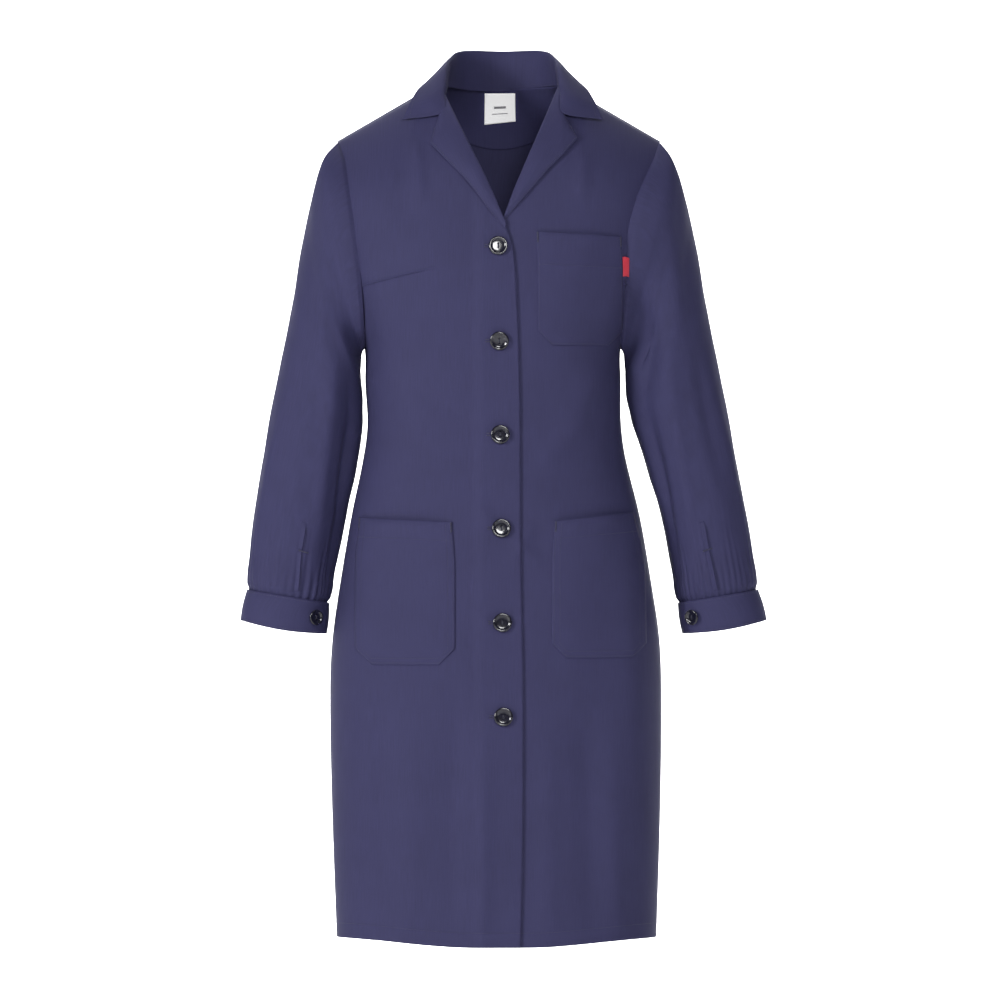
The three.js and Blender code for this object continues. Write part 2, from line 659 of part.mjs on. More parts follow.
const BUTTON_RISE = LAP_LAYER * LAYER + CLOTH + BUTTON_LIFT;
for (let i = 0; i < BUTTON_COUNT; i += 1) {
  const point = frontAt(buttonX(i), buttonZ(i));
  const place = standOn(point, frontNormal(buttonX(i), buttonZ(i)), BUTTON_RISE);
  add(`button_${i + 1}`, buttonSolid(BUTTON_R), BUTTON_PLASTIC, place);
  const shank = BUTTON_RISE - LAYER - LAYER_GAP;
  add(`button_${i + 1}_thread`, threadSolid(shank), THREAD, place);
}

// ---------------------------------------------------------------- sleeves

// A sleeve's rings each hang between an outer and an inner point. The first ring is the armhole
// seam, and the rings turn level as they go down. u = 0 is the outer edge and v = 0 the armhole.
function sleeveShape(name) {
  const arm = ARMS[name];
  const gap = track(arm.gap);
  const side = arm.side < 0 ? rightSide : leftSide;
  const depth = track(SLEEVE_DEPTH);
  const [, tipZ] = arm.outer[0];
  const [, footZ] = arm.outer[arm.outer.length - 1];
  return (u, v) => {
    const turn = 2 * Math.PI * u;
    const outerZ = mix(tipZ, footZ, v ** 1.25);
    const innerZ = mix(UNDERARM_Z, SLEEVE_INNER_Z, v ** SLEEVE_CREEP * 0.5 + v * 0.5);
    const outerX = outerRail[name](outerZ);
    const innerX = side(innerZ) + arm.side * gap(innerZ);
    const share = 0.5 - 0.5 * Math.cos(turn);
    const level = mix(outerZ, innerZ, share);
    const seam = armholeX[name](level) + arm.side * SLEEVE_SEAM;
    const front = Math.sin(turn) < 0;
    const seamY = (front ? frontAt(seam, level) : backAt(seam, level)).y;
    const ellipseY = MIDDLE_Y + depth(v) * sidePower(Math.sin(turn));
    const ringX = mix(outerX, innerX, share);
    const away = ease(v / 0.3);
    const x = mix(mix(seam, ringX, ease(v / 0.12)), ringX, away);
    return new THREE.Vector3(x, mix(seamY, ellipseY, away), level);
  };
}

// The cuff is a strip that winds a little more than once round the wrist, lapping over itself.
function cuffShape(name) {
  const sleeve = sleeveShape(name);
  const foot = (u) => sleeve(u, 1);
  const drop = foot(0).sub(sleeve(0, 0.94)).normalize();
  const middle = foot(0).add(foot(0.5)).multiplyScalar(0.5);
  return (u, v) => {
    const wound = u * (1 + CUFF_LAP / 360);
    const edge = foot((CUFF_START - wound + 1) % 1);
    const inward = middle.clone().sub(edge);
    inward.setLength(CUFF_EASE + LAYER * (1 - u));
    const down = SEAM_GAP + CUFF_HEIGHT * v;
    return edge.add(inward).addScaledVector(drop, down);
  };
}

// The placket is a strip of cloth on the sleeve, over the slit that runs up from the cuff.
function placketShape(name) {
  const sleeve = sleeveShape(name);
  const middle = ARMS[name].placket;
  const length = sleeve(middle, 0.5).distanceTo(sleeve(middle, 1)) * 2;
  const girth = 2 * sleeve(0, 1).distanceTo(sleeve(0.5, 1));
  return (u, v) => {
    const across = (u - 0.5) * (PLACKET_WIDTH / girth);
    return sleeve(middle + across, 0.99 - (PLACKET_LENGTH / length) * (1 - v));
  };
}

function cuffButtonPlace(name) {
  const cuff = cuffShape(name);
  const u = CUFF_BUTTON_TURN;
  const step = 0.01;
  const around = cuff(u + step, 0.5).sub(cuff(u - step, 0.5));
  const down = cuff(u, 0.6).sub(cuff(u, 0.4));
  const normal = around.cross(down).normalize();
  if (normal.y > 0) normal.negate();
  return standOn(cuff(u, 0.5), normal, CLOTH + BUTTON_LIFT);
}

for (const name of ['right', 'left']) {
  const arm = ARMS[name];
  const outward = arm.side;
  add(`${name}_sleeve`, layered(sleeveShape(name), 14, 12, 0, outward, true), TWILL);
  add(`${name}_placket`, layered(placketShape(name), 2, 5, PLACKET_LAYER, outward), TWILL);
  add(`${name}_cuff`, slab(cuffShape(name), 22, 2, 0, CLOTH, -outward), TWILL);
  const place = cuffButtonPlace(name);
  add(`${name}_cuff_button`, buttonSolid(CUFF_BUTTON_R), BUTTON_PLASTIC, place);
  add(`${name}_cuff_button_thread`, threadSolid(BUTTON_LIFT), THREAD, place);
}

export default group;
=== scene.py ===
# %% [markdown]
# # A buttoned work coat in navy twill
# This lesson dresses a packed mechanical model of a coat in cloth. The model gives the frame: it
# knows the size, the bodies that move and where each one turns. Every piece of cloth made here is
# a surface worked out with numpy and laid on the same form; one given a body by name hangs on it.

# %% Load the frame
import math

import bpy
import numpy as np
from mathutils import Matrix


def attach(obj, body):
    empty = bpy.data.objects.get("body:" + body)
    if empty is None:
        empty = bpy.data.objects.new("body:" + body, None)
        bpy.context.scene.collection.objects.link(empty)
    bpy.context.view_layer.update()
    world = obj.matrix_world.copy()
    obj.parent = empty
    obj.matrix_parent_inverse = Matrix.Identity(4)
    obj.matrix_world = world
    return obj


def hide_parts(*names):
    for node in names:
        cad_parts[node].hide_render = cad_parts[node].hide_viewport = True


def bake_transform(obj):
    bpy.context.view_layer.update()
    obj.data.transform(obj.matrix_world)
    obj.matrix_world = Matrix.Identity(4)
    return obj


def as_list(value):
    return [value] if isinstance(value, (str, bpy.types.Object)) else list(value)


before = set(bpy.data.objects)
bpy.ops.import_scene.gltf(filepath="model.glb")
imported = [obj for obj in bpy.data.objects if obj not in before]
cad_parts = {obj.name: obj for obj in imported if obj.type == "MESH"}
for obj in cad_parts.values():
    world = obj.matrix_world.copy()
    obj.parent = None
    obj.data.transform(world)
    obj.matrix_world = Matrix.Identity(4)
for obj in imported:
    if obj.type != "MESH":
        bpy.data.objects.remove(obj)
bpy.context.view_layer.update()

# %% [markdown]
# ## Camera
# A garment is usually shot from far away with a long lens, at mid height, so that shoulders and
# hem keep their proportions. The lens is worked out from the width that the picture should show
# at the coat.

# %% Camera
VIEW_WIDTH = 1.166
VIEW_MIDDLE_Z = -0.4805
CAMERA_DISTANCE = 16.0
SENSOR = 36.0
COAT_MIDDLE_Y = -0.10

camera_data = bpy.data.cameras.new("camera")
camera_data.sensor_width = SENSOR
camera_data.lens = SENSOR * CAMERA_DISTANCE / VIEW_WIDTH
camera = bpy.data.objects.new("camera", camera_data)
camera.location = (0.0, COAT_MIDDLE_Y - CAMERA_DISTANCE, VIEW_MIDDLE_Z)
camera.rotation_euler = (math.pi / 2, 0.0, 0.0)
bpy.context.scene.collection.objects.link(camera)
bpy.context.scene.camera = camera
print("lens:", round(camera_data.lens), "mm")

# %% [markdown]
# ## Studio
# A product studio is a white paper sweep, a large soft key light on one side, a soft light near the
# camera and a little from above. Area lights give the soft shadows that show folds. A last lamp,
# high behind the coat, lights the far paper.

# %% Lights
ROOM_LIGHT = 0.10


def area_light(name, place, aim, size, power):
    """Square lamp of a size in metres at a place, turned to shine at a point."""
    data = bpy.data.lights.new(name, "AREA")
    data.shape = "SQUARE"
    data.size = size
    data.energy = power
    lamp = bpy.data.objects.new(name, data)
    lamp.location = place
    away = np.array(place) - np.array(aim)
    lamp.rotation_euler = (
        math.atan2(math.hypot(away[0], away[1]), away[2]),
        0.0,
        math.atan2(away[0], -away[1]),
    )
    bpy.context.scene.collection.objects.link(lamp)


MIDDLE_OF_COAT = (0.0, -0.1, -0.45)
area_light("key", (-3.7, -3.5, 0.5), MIDDLE_OF_COAT, 1.3, 150)
area_light("front", (0.7, -5.4, 1.4), MIDDLE_OF_COAT, 1.5, 135)
area_light("top", (0.0, -0.6, 2.4), MIDDLE_OF_COAT, 1.0, 5)
area_light("sweep_light", (0.0, 9.0, 12.5), (0.0, 26.0, -1.6), 12.0, 13000)

world = bpy.data.worlds.new("studio")
world.use_nodes = True
background = world.node_tree.nodes["Background"]
background.inputs["Color"].default_value = (1.0, 1.0, 1.0, 1.0)
background.inputs["Strength"].default_value = ROOM_LIGHT
bpy.context.scene.world = world
bpy.context.scene.view_settings.view_transform = "Standard"

# %% [markdown]
# ## Materials from one small helper
# Every finish below is a Principled shader. Colours are given as sRGB hex and turned to linear
# light once. `node` adds a node, sets its values and links its inputs, so that each material reads
# from top to bottom like a recipe.


# %% Material helpers
def linear(hex_colour):
    """sRGB hex to linear RGBA: below 0.04045 divide by 12.92, above it a power of 2.4."""
    value = hex_colour.lstrip("#")
    srgb = np.array([int(value[i : i + 2], 16) for i in (0, 2, 4)]) / 255
    light = np.where(srgb <= 0.04045, srgb / 12.92, ((srgb + 0.055) / 1.055) ** 2.4)
    return (*light.tolist(), 1.0)


def node(tree, kind, values=None, links=None, **settings):
    """Add a node, set its plain settings and socket values, and link sockets into it."""
    new = tree.nodes.new(kind)
    for key, value in settings.items():
        setattr(new, key, value)
    for key, value in (values or {}).items():
        new.inputs[key].default_value = value
    for key, source in (links or {}).items():
        tree.links.new(source, new.inputs[key])
    return new


def material(name, **values):
    """A material with one Principled shader, whose sockets take the values given."""
    made = bpy.data.materials.new(name)
    made.use_nodes = True
    shader = made.node_tree.nodes["Principled BSDF"]
    for key, value in values.items():
        shader.inputs[key.replace("_", " ")].default_value = value
    return made, made.node_tree, shader


def relief(tree, shader, height, strength, distance):
    """Bump the shader's normal by a height, a distance in metres at most."""
    values = {"Strength": strength, "Distance": distance}
    bump = node(tree, "ShaderNodeBump", values, {"Height": height})
    tree.links.new(bump.outputs["Normal"], shader.inputs["Normal"])


def between(tree, shader, tone, dark, light, low=0.0, high=1.0):
    """Colour the shader from dark to light, as a tone runs from low to high."""
    ramp = node(tree, "ShaderNodeValToRGB", links={"Fac": tone})
    for element, place, colour in zip(ramp.color_ramp.elements, (low, high), (dark, light)):
        element.position, element.color = place, linear(colour)
    tree.links.new(ramp.outputs["Color"], shader.inputs["Base Color"])


# %% [markdown]
# ## Navy twill
# The coat is polyester and cotton twill: matt, smooth, with fine diagonal wales and slightly uneven
# yarns that show as faint streaks along the length. Twill of this weight has about 2 wales a
# millimetre, far too fine to show, so the wales are drawn 0.9 mm apart and very shallow. The
# pattern follows each piece's own UV map, which holds real metres along the cloth's grain.


# %% Twill
WAVE_PERIOD = 0.314  # a wave texture of scale 1 repeats every 0.314 units
WALE_SPACING = 0.0009
STREAK_WIDTH = 0.0008
STREAK_LENGTH = 0.030
WALE_TILT = math.radians(63)
CLOUD_SCALE = 14.0  # slow patches of tone, about 14 to the metre


def twill(name, dark, light, sheen):
    """Matt woven twill between two yarn colours."""
    made, tree, shader = material(
        name,
        Roughness=0.78,
        Specular_IOR_Level=0.28,
        Sheen_Weight=sheen,
        Sheen_Roughness=0.45,
        Sheen_Tint=linear("#9a98c8"),
    )
    uv = node(tree, "ShaderNodeUVMap", uv_map="grain")
    streak_map = node(
        tree,
        "ShaderNodeMapping",
        {"Scale": (1 / STREAK_WIDTH, 1 / STREAK_LENGTH, 1.0)},
        {"Vector": uv.outputs["UV"]},
    )
    streaks = node(
        tree,
        "ShaderNodeTexNoise",
        {"Scale": 1.0, "Detail": 3.0, "Roughness": 0.6},
        {"Vector": streak_map.outputs["Vector"]},
    )
    wale_map = node(
        tree,
        "ShaderNodeMapping",
        {"Rotation": (0.0, 0.0, WALE_TILT)},
        {"Vector": uv.outputs["UV"]},
    )
    wales = node(
        tree,
        "ShaderNodeTexWave",
        {"Scale": WAVE_PERIOD / WALE_SPACING, "Distortion": 0.6, "Detail": 1.0},
        {"Vector": wale_map.outputs["Vector"]},
    )
    cloud = node(
        tree,
        "ShaderNodeTexNoise",
        {"Scale": CLOUD_SCALE, "Detail": 4.0, "Roughness": 0.55},
        {"Vector": uv.outputs["UV"]},
    )
    blend = node(
        tree,
        "ShaderNodeMath",
        {1: 0.35},
        {0: cloud.outputs["Fac"]},
        operation="MULTIPLY",
    )
    tone = node(
        tree,
        "ShaderNodeMath",
        {1: 0.65},
        {0: streaks.outputs["Fac"], 2: blend.outputs[0]},
        operation="MULTIPLY_ADD",
    )
    between(tree, shader, tone.outputs[0], dark, light, 0.2, 0.85)
    height = node(
        tree,
        "ShaderNodeMath",
        {1: 0.5},
        {0: wales.outputs["Fac"], 2: streaks.outputs["Fac"]},
        operation="MULTIPLY_ADD",
    )
    relief(tree, shader, height.outputs[0], 0.22, 0.00035)
    return made


TWILL = twill("navy twill", "#2e2d4d", "#39385e", 0.05)
TWILL_INSIDE = twill("navy twill reverse", "#333255", "#3e3d66", 0.05)

# %% [markdown]
# ## Thread, buttons, label and tab
# Sewing thread is spun polyester, a shade darker than the cloth. The buttons are polished cast
# polyester, nearly black, so they show mostly their reflections. The label and the red tab are
# woven ribbon, with their own fine rib.


# %% Small finishes
def ribbon(name, colour, rib, roughness, painted_glow=0.0):
    """Woven ribbon: one colour with fine ribs across, a rib apart in metres.

    A glow of its own can be given: painted light, which lifts the white label out of the neck's
    shade.
    """
    made, tree, shader = material(
        name,
        Base_Color=linear(colour),
        Roughness=roughness,
        Sheen_Weight=0.2,
        Emission_Color=linear(colour),
        Emission_Strength=painted_glow,
    )
    uv = node(tree, "ShaderNodeUVMap", uv_map="grain")
    ribs = node(
        tree,
        "ShaderNodeTexWave",
        {"Scale": WAVE_PERIOD / rib, "Distortion": 0.2},
        {"Vector": uv.outputs["UV"]},
        bands_direction="Y",
    )
    relief(tree, shader, ribs.outputs["Fac"], 0.35, 0.0002)
    return made


THREAD = material(
    "spun polyester thread", Base_Color=linear("#292848"), Roughness=0.62, Sheen_Weight=0.15
)[0]
BUTTON_THREAD = material(
    "button thread", Base_Color=linear("#1c1b30"), Roughness=0.55, Sheen_Weight=0.2
)[0]
# The label glows: painted light, an emission of 0.35 that lifts it out of the shade inside the
# neck.
LABEL = ribbon("woven satin label", "#ffffff", 0.0006, 0.45, 0.35)
LABEL_MARK = ribbon("label weft, grey", "#a9a8ae", 0.0006, 0.5)
TAB = ribbon("woven red ribbon", "#c9283f", 0.0008, 0.55)
CANVAS = ribbon("collar canvas", "#d6d2c8", 0.0009, 0.9)

POLYESTER, button_tree, button_shader = material(
    "polished cast polyester",
    Base_Color=linear("#0d0d17"),
    Roughness=0.16,
    IOR=1.56,
    Coat_Weight=0.5,
    Coat_Roughness=0.05,
)
button_place = node(button_tree, "ShaderNodeTexCoord")
button_cloud = node(
    button_tree,
    "ShaderNodeTexNoise",
    {"Scale": 160.0, "Detail": 2.0},
    {"Vector": button_place.outputs["Object"]},
)
between(button_tree, button_shader, button_cloud.outputs["Fac"], "#090910", "#1a1a2c")

PAPER = material("white paper sweep", Base_Color=linear("#f4f4f4"), Roughness=0.9)[0]

# %% [markdown]
# ## Grids become meshes
# Each surface is a grid of points. The helper below turns a grid into faces without a loop, and
# stores a UV map called grain: across it runs the distance along the cloth from the first column,
# and down it the distance along that column, both in metres. That keeps the weave at one scale.


# %% Mesh helpers
def mix(a, b, t):
    return a + (b - a) * t


def ease(t):
    """Smooth step: 3t^2 - 2t^3, held at 0 and 1 outside its range."""
    t = np.clip(t, 0.0, 1.0)
    return t * t * (3 - 2 * t)


def shares_across(count):
    """Even shares from 0 to 1 as one row of a grid."""
    return np.linspace(0, 1, count)[None, :]


def shares_down(count):
    """Even shares from 0 to 1 as one column of a grid."""
    return np.linspace(0, 1, count)[:, None]


def together(*values):
    """The values as arrays of floats that share one shape."""
    return np.broadcast_arrays(*(np.asarray(value, float) for value in values))


def unit(vectors):
    """Vectors of length 1; one without a direction stays as it is."""
    return vectors / np.maximum(np.linalg.norm(vectors, axis=-1, keepdims=True), 1e-12)


def millimetres(table):
    return np.array(table) / 1000


def new_object(name, vertices, faces, finish, uv=None):
    """Put whole arrays of points and four-cornered faces into a smooth-shaded mesh."""
    mesh = bpy.data.meshes.new(name)
    mesh.from_pydata(vertices.tolist(), [], faces.tolist())
    mesh.polygons.foreach_set("use_smooth", np.ones(len(mesh.polygons), dtype=bool))
    if uv is not None:
        layer = mesh.uv_layers.new(name="grain")
        layer.data.foreach_set("uv", uv[faces.ravel()].astype(np.float32).ravel())
    mesh.materials.append(finish)
    mesh.update()
    made = bpy.data.objects.new(name, mesh)
    bpy.context.scene.collection.objects.link(made)
    return made


def grid_faces(rows, columns, closed, flip):
    """Corner numbers of every cell of a grid; closed joins the last column to the first."""
    last = columns if closed else columns - 1
    j, i = np.meshgrid(np.arange(rows - 1), np.arange(last), indexing="ij")
    here, beside = j * columns + i, j * columns + (i + 1) % columns
    faces = np.stack([here, beside, beside + columns, here + columns], axis=-1).reshape(-1, 4)
    return faces[:, ::-1] if flip else faces


def lengths(points, axis):
    """Running distance along the rows (axis 1) or the columns (axis 0) of a grid."""
    steps = np.linalg.norm(np.diff(points, axis=axis), axis=2)
    start = np.zeros_like(np.take(steps, [0], axis=axis))
    return np.concatenate([start, np.cumsum(steps, axis=axis)], axis=axis)


def cloth(name, points, thickness, finish, outward, grain=None, closed=False):
    """A piece of cloth from a grid, given its thickness by Solidify, half to each side.

    grain is a pair of arrays: the place across and along the cloth's grain, in metres.
    """
    rows, columns = points.shape[:2]
    faces = grid_faces(rows, columns, closed, outward < 0)
    grain = grain or (lengths(points, 1), -lengths(points, 0)[:, :1])
    uv = np.stack(np.broadcast_arrays(*grain), axis=-1).reshape(-1, 2)
    made = new_object(name, points.reshape(-1, 3), faces, finish, uv)
    shell = made.modifiers.new("thickness", "SOLIDIFY")
    shell.thickness = thickness
    shell.offset = 0.0
    return made


def wobble(x, seed):
    """Smooth noise along a line: four sine waves whose lengths share no common measure."""
    rates = np.array([1.0, 1.618, 2.513, 4.079])
    heights = np.array([0.42, 0.28, 0.18, 0.12])
    phases = seed * np.array([1.7, 2.9, 4.3, 6.1])
    return (np.sin(x[..., None] * rates + phases) * heights).sum(axis=-1)


# %% [markdown]
# ## The form under the cloth
# The whole coat is laid on one form: at each height a rounded oval, wide and deep as the body is
# there, that rounds over into the shoulders at the top. Because every layer is this form plus a
# lift along its normal, front, facing, pocket and button can never pass through each other.

# %% The form
UNDERARM_Z = -0.300
HEM_Z, HEM_RISE = -1.000, 0.010
SIDE_SEAM_FORWARD = 0.020
OVAL_POWER = 2.4
NECK_HALF = 0.073
NECK_SIDE_Z = 0.005
NECK_RISE = 0.035
SHOULDER_SLOPE = 0.58
SHOULDER_ROUND = 0.110
SHOULDER_CENTRE = -0.0015

# Height, wearer's right side, wearer's left side, front depth, back depth, in millimetres.
LEVELS = millimetres(
    [
        [10, -228, 222, 58, 97], [-60, -219, 217, 82, 100], [-120, -211, 198, 101, 104],
        [-200, -193, 173, 115, 104], [-260, -175, 155, 113, 101], [-300, -158.5, 141, 109, 98],
        [-345, -157, 140.5, 103, 92], [-392, -154.5, 141, 98, 88], [-430, -159, 146, 99, 90],
        [-500, -173, 163, 104, 100], [-569, -185, 175, 109, 111], [-640, -195, 185.5, 112, 118],
        [-700, -198, 188, 113, 120], [-830, -196, 187, 114, 120], [-1000, -190, 182, 115, 119],
    ]
)


def track(at, values):
    """Smooth curve through points: cubic steps whose slopes are those of the neighbours."""
    order = np.argsort(at)
    at, values = np.asarray(at, float)[order], np.asarray(values, float)[order]
    lower = np.maximum(np.arange(len(at)) - 1, 0)
    upper = np.minimum(np.arange(len(at)) + 1, len(at) - 1)
    slopes = (values[upper] - values[lower]) / (at[upper] - at[lower])

    def curve(x):
        x = np.clip(x, at[0], at[-1])
        i = np.clip(np.searchsorted(at, x, side="right") - 1, 0, len(at) - 2)
        width = at[i + 1] - at[i]
        s = (x - at[i]) / width
        up = s * s * (3 - 2 * s)
        bend = s * (1 - s) * width * ((1 - s) * slopes[i] - s * slopes[i + 1])
        return values[i] * (1 - up) + values[i + 1] * up + bend

    return curve


right_side, left_side, front_depth, back_depth = (
    track(LEVELS[:, 0], LEVELS[:, k]) for k in (1, 2, 3, 4)
)


def middle_and_half(z):
    """Middle of the form's width at a height, and half of that width."""
    return (right_side(z) + left_side(z)) / 2, (left_side(z) - right_side(z)) / 2


def oval(t):
    return np.sign(t) * np.abs(t) ** (2 / OVAL_POWER)


def ridge(x):
    """Height of the shoulder line: it slopes away outside the neck and climbs inside it."""
    out = np.abs(x - SHOULDER_CENTRE)
    slope = NECK_SIDE_Z - SHOULDER_SLOPE * (out - NECK_HALF)
    return np.where(out > NECK_HALF, slope, NECK_SIDE_Z + NECK_RISE * ease(1 - out / NECK_HALF))


def rounding(x, z):
    """Share of the full depth: a quarter circle under the shoulder line, 1 below it."""
    t = np.clip((ridge(x) - z) / SHOULDER_ROUND, 0.0, 1.0)
    return np.sqrt(t * (2 - t))


MIDDLE_Y = float(-back_depth(0.0) * rounding(np.array(0.0), 0.0))


def form(turn, z):
    """Point of the form: turn 0 is the centre back, +90 degrees the wearer's right, 180 front."""
    centre, half = middle_and_half(z)
    x = centre - half * oval(np.sin(turn))
    depth = np.where(np.cos(turn) > 0, back_depth(z), front_depth(z))
    y = MIDDLE_Y + depth * oval(np.cos(turn)) * rounding(x, z)
    return np.stack([x, y, np.broadcast_to(z, x.shape)], axis=-1)


def turn_of(x, z, front):
    """The turn whose point of the form has this x, on the front or on the back."""
    centre, half = middle_and_half(z)
    share = np.clip((centre - x) / half, -1.0, 1.0)
    turn = np.arcsin(np.sign(share) * np.abs(share) ** (OVAL_POWER / 2))
    return math.pi - turn if front else turn


def form_normal(turn, z):
    """Outward normal: the cross product of the form's slopes round and down."""
    step = 1e-3
    round_it = form(turn + step, z) - form(turn - step, z)
    down = form(turn, z - step) - form(turn, z + step)
    return unit(np.cross(down, round_it))


print("middle of the body at y =", round(MIDDLE_Y, 4))

# %% [markdown]
# ## Sewing a piece to its bodies
# Cloth on a front stays with the body at the side seam and swings open at the front edge. All
# pieces on one front are given one field, which runs from the side of the waist to the middle of
# the skirt, but nothing here bends them by it. A sleeve stays at its armhole seam and swings from
# the armpit outwards. `wear` hides the model's parts that a piece stands in for and hangs the piece
# on a body given by name; `measured` notes the flat size of its cloth.

# %% Wearing
SMALLEST_SIDE = 0.010
LEAST_SHARE = 0.3  # of a sheet's width times its length
RIGHT_FRONT = ("body", "right_front", (-0.190, -0.075, -0.330), (0.0, -0.175, -0.700))
LEFT_FRONT = ("body", "left_front", (0.190, -0.075, -0.330), (0.0, -0.175, -0.700))
RIGHT_SLEEVE = ("body", "right_arm", (-0.157, -0.075, -0.300), (-0.230, -0.075, -0.333))
LEFT_SLEEVE = ("body", "left_arm", (0.140, -0.075, -0.300), (0.213, -0.075, -0.333))
FRONTS = (("right", RIGHT_FRONT), ("left", LEFT_FRONT))


def wear(piece, rides, slot_name, nodes=(), held=None, rests_on=()):
    if nodes:
        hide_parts(*nodes)
    if isinstance(rides, str):
        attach(piece, rides)
    else:
        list(rides)
        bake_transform(piece)
    if held:
        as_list(rests_on)


def measured(piece, points, closed=False):
    """Note the widest row, longest column and mid area of a cloth grid, in metres."""
    ring = np.concatenate([points, points[:, :1]], axis=1) if closed else points
    across, down = lengths(ring, 1)[:, -1], lengths(ring, 0)[-1]
    a = ring[1:, 1:] - ring[:-1, :-1]
    b = ring[1:, :-1] - ring[:-1, 1:]
    area = np.linalg.norm(np.cross(a, b), axis=2).sum() / 2
    width = max(float(across.max()), SMALLEST_SIDE)
    length = max(float(down.max()), SMALLEST_SIDE)
    piece["width"], piece["length"] = round(width, 4), round(length, 4)
    piece["area"] = round(min(max(area, LEAST_SHARE * width * length), width * length), 6)
    return piece


def panel(name, points, thickness, finish, outward, worn, grain=None, closed=False):
    """A measured cloth. worn is what `wear` needs: field, slot, nodes, how it is held, on what."""
    made = cloth(name, points, thickness, finish, outward, grain, closed)
    wear(measured(made, points, closed), *worn)


# %% [markdown]
# ## Folds
# A coat on a stand hangs quite smooth. What there is comes from a few places: the skirt falls in
# broad soft waves, the cloth drags a little between the buttons, and a fold drops from each collar
# leaf. A fold is a ridge along a line: a bell across it, and a soft start and end along it.

# %% Folds
# Start x and z, end x and z, half width and height, all in millimetres.
FRONT_FOLDS = millimetres(
    [
        [-97, -48, -92, -150, 9, 3.2], [-112, -60, -118, -165, 10, -2.0],
        [99, -60, 94, -140, 9, 1.8], [-165, -150, -120, -290, 14, 2.6],
        [-176, -200, -140, -330, 10, -2.2],
        [150, -160, 118, -330, 14, 2.2], [-148, -300, -60, -440, 16, 2.2],
        [138, -300, 60, -420, 16, 2.0], [-120, -330, -20, -400, 12, -1.8],
        [110, -380, 34, -450, 12, 1.8], [44, -505, 8, -560, 8, 1.8], [52, -560, 10, -520, 8, 1.6],
        [-34, -480, -4, -512, 8, 1.4], [-40, -600, -6, -628, 8, 1.4], [46, -612, 10, -630, 8, 1.2],
        [-150, -420, -166, -900, 22, 3.4], [-96, -700, -104, -1040, 18, 3.0],
        [-48, -640, -58, -1040, 14, -2.4], [-16, -720, -20, -1040, 12, 2.0],
        [56, -690, 60, -1040, 14, 2.4], [98, -680, 104, -1040, 18, -2.8],
        [146, -430, 158, -960, 20, 3.2], [130, -700, 136, -1040, 14, 2.2],
        [-176, -498, -46, -503, 4.5, -1.7], [50, -502, 168, -491, 4.5, -1.5],
        [34, -166, 150, -171, 4, -1.2], [-134, -680, -140, -1040, 12, -2.4],
    ]
)
BUTTON_COUNT = 6
button_x = -0.002 + 0.0012 * np.arange(BUTTON_COUNT)
button_z = -0.186 - 0.1092 * np.arange(BUTTON_COUNT)


FOLD_FADE = 0.35  # share of a fold's length over which each end fades


def folds(x, z, table):
    """Sum of ridges: height * exp(-(distance / width)^2), eased in and out along each line."""
    x, z = np.broadcast_arrays(x, z)
    total = np.zeros(x.shape)
    for x0, z0, x1, z1, width, height in table:
        dx, dz = x1 - x0, z1 - z0
        span = math.hypot(dx, dz)
        along = ((x - x0) * dx + (z - z0) * dz) / span**2
        away = ((x - x0) * dz - (z - z0) * dx) / span
        ends = ease(along / FOLD_FADE) * ease((1 - along) / FOLD_FADE)
        total += height * ends * np.exp(-((away / width) ** 2))
    return total


def front_drape(x, z):
    """Folds, slow waves that grow down the skirt, and a dimple under each button."""
    skirt = ease((-0.42 - z) / 0.5)
    waves = 0.0016 * skirt * wobble(x * 38 + z * 1.5, 2.0)
    slow = 0.0009 * wobble(x * 22 - z * 9, 5.0) + 0.0007 * wobble(z * 16 + x * 12, 3.0)
    away = ((x[..., None] - button_x) / 0.016) ** 2 + ((z[..., None] - button_z) / 0.013) ** 2
    dimple = -0.0011 * np.exp(-away).sum(axis=-1)
    return folds(x, z, FRONT_FOLDS) + waves + slow + dimple


def front_at(x, z, lift=0.0):
    """Points of the front a lift above the form: form + normal * (lift + drape)."""
    x, z = together(x, z)
    turn = turn_of(x, z, True)
    normal = form_normal(turn, z)
    height = (lift + front_drape(x, z) * ease((ridge(x) - z) / 0.05))[..., None]
    return form(turn, z) + normal * height


def front_normal(x, z):
    """Normal of the draped front itself, from its slopes along x and z."""
    step = 0.0015
    x, z = together(x, z)
    along, up = front_at(x + step, z) - front_at(x - step, z), front_at(x, z + step)
    return unit(np.cross(along, up - front_at(x, z - step)))


# %% [markdown]
# ## Layers
# Cloth on cloth is told by its shadow line. Each piece has its own height over the form: facings
# lie inside, the right front laps over the left one, and the pockets lie on top.

# %% Layers
CLOTH = 0.0008
FRONT_LIFT = 0.0
LAP_LIFT = 0.0028
FACING_LIFT = -0.0016
POCKET_LIFT = 0.0011
LAP_EDGE = 0.020
ROLL_TOP_X, ROLL_TOP_Z = 0.066, -0.010
BREAK_X, BREAK_Z = 0.003, -0.158
CUT_Z = -0.330  # where a front's rows have turned level
FACING_WIDTH, FACING_TOP_Z, FACING_INSET = 0.075, -0.205, 0.002
FACING_HEM_RISE = 0.004

# Height and x of the free front edge, in millimetres.
EDGE_LINE = millimetres(
    [
        [-150, 2], [-160, 6], [-189, 15], [-239, 19], [-363, 23], [-533, 24], [-702, 27],
        [-807, 27], [-911, 26], [-1000, 24],
    ]
)
front_edge = track(EDGE_LINE[:, 0], EDGE_LINE[:, 1])


def roll_x(z):
    """The straight line along which a lapel folds back."""
    return mix(ROLL_TOP_X, BREAK_X, (ROLL_TOP_Z - z) / (ROLL_TOP_Z - BREAK_Z))


def seam_x(z, side):
    """Side seam: the oval's x where it is a seam's way forward of the body's middle."""
    centre, half = middle_and_half(z)
    share = (1 - (SIDE_SEAM_FORWARD / front_depth(z)) ** OVAL_POWER) ** (1 / OVAL_POWER)
    return centre + side * half * share


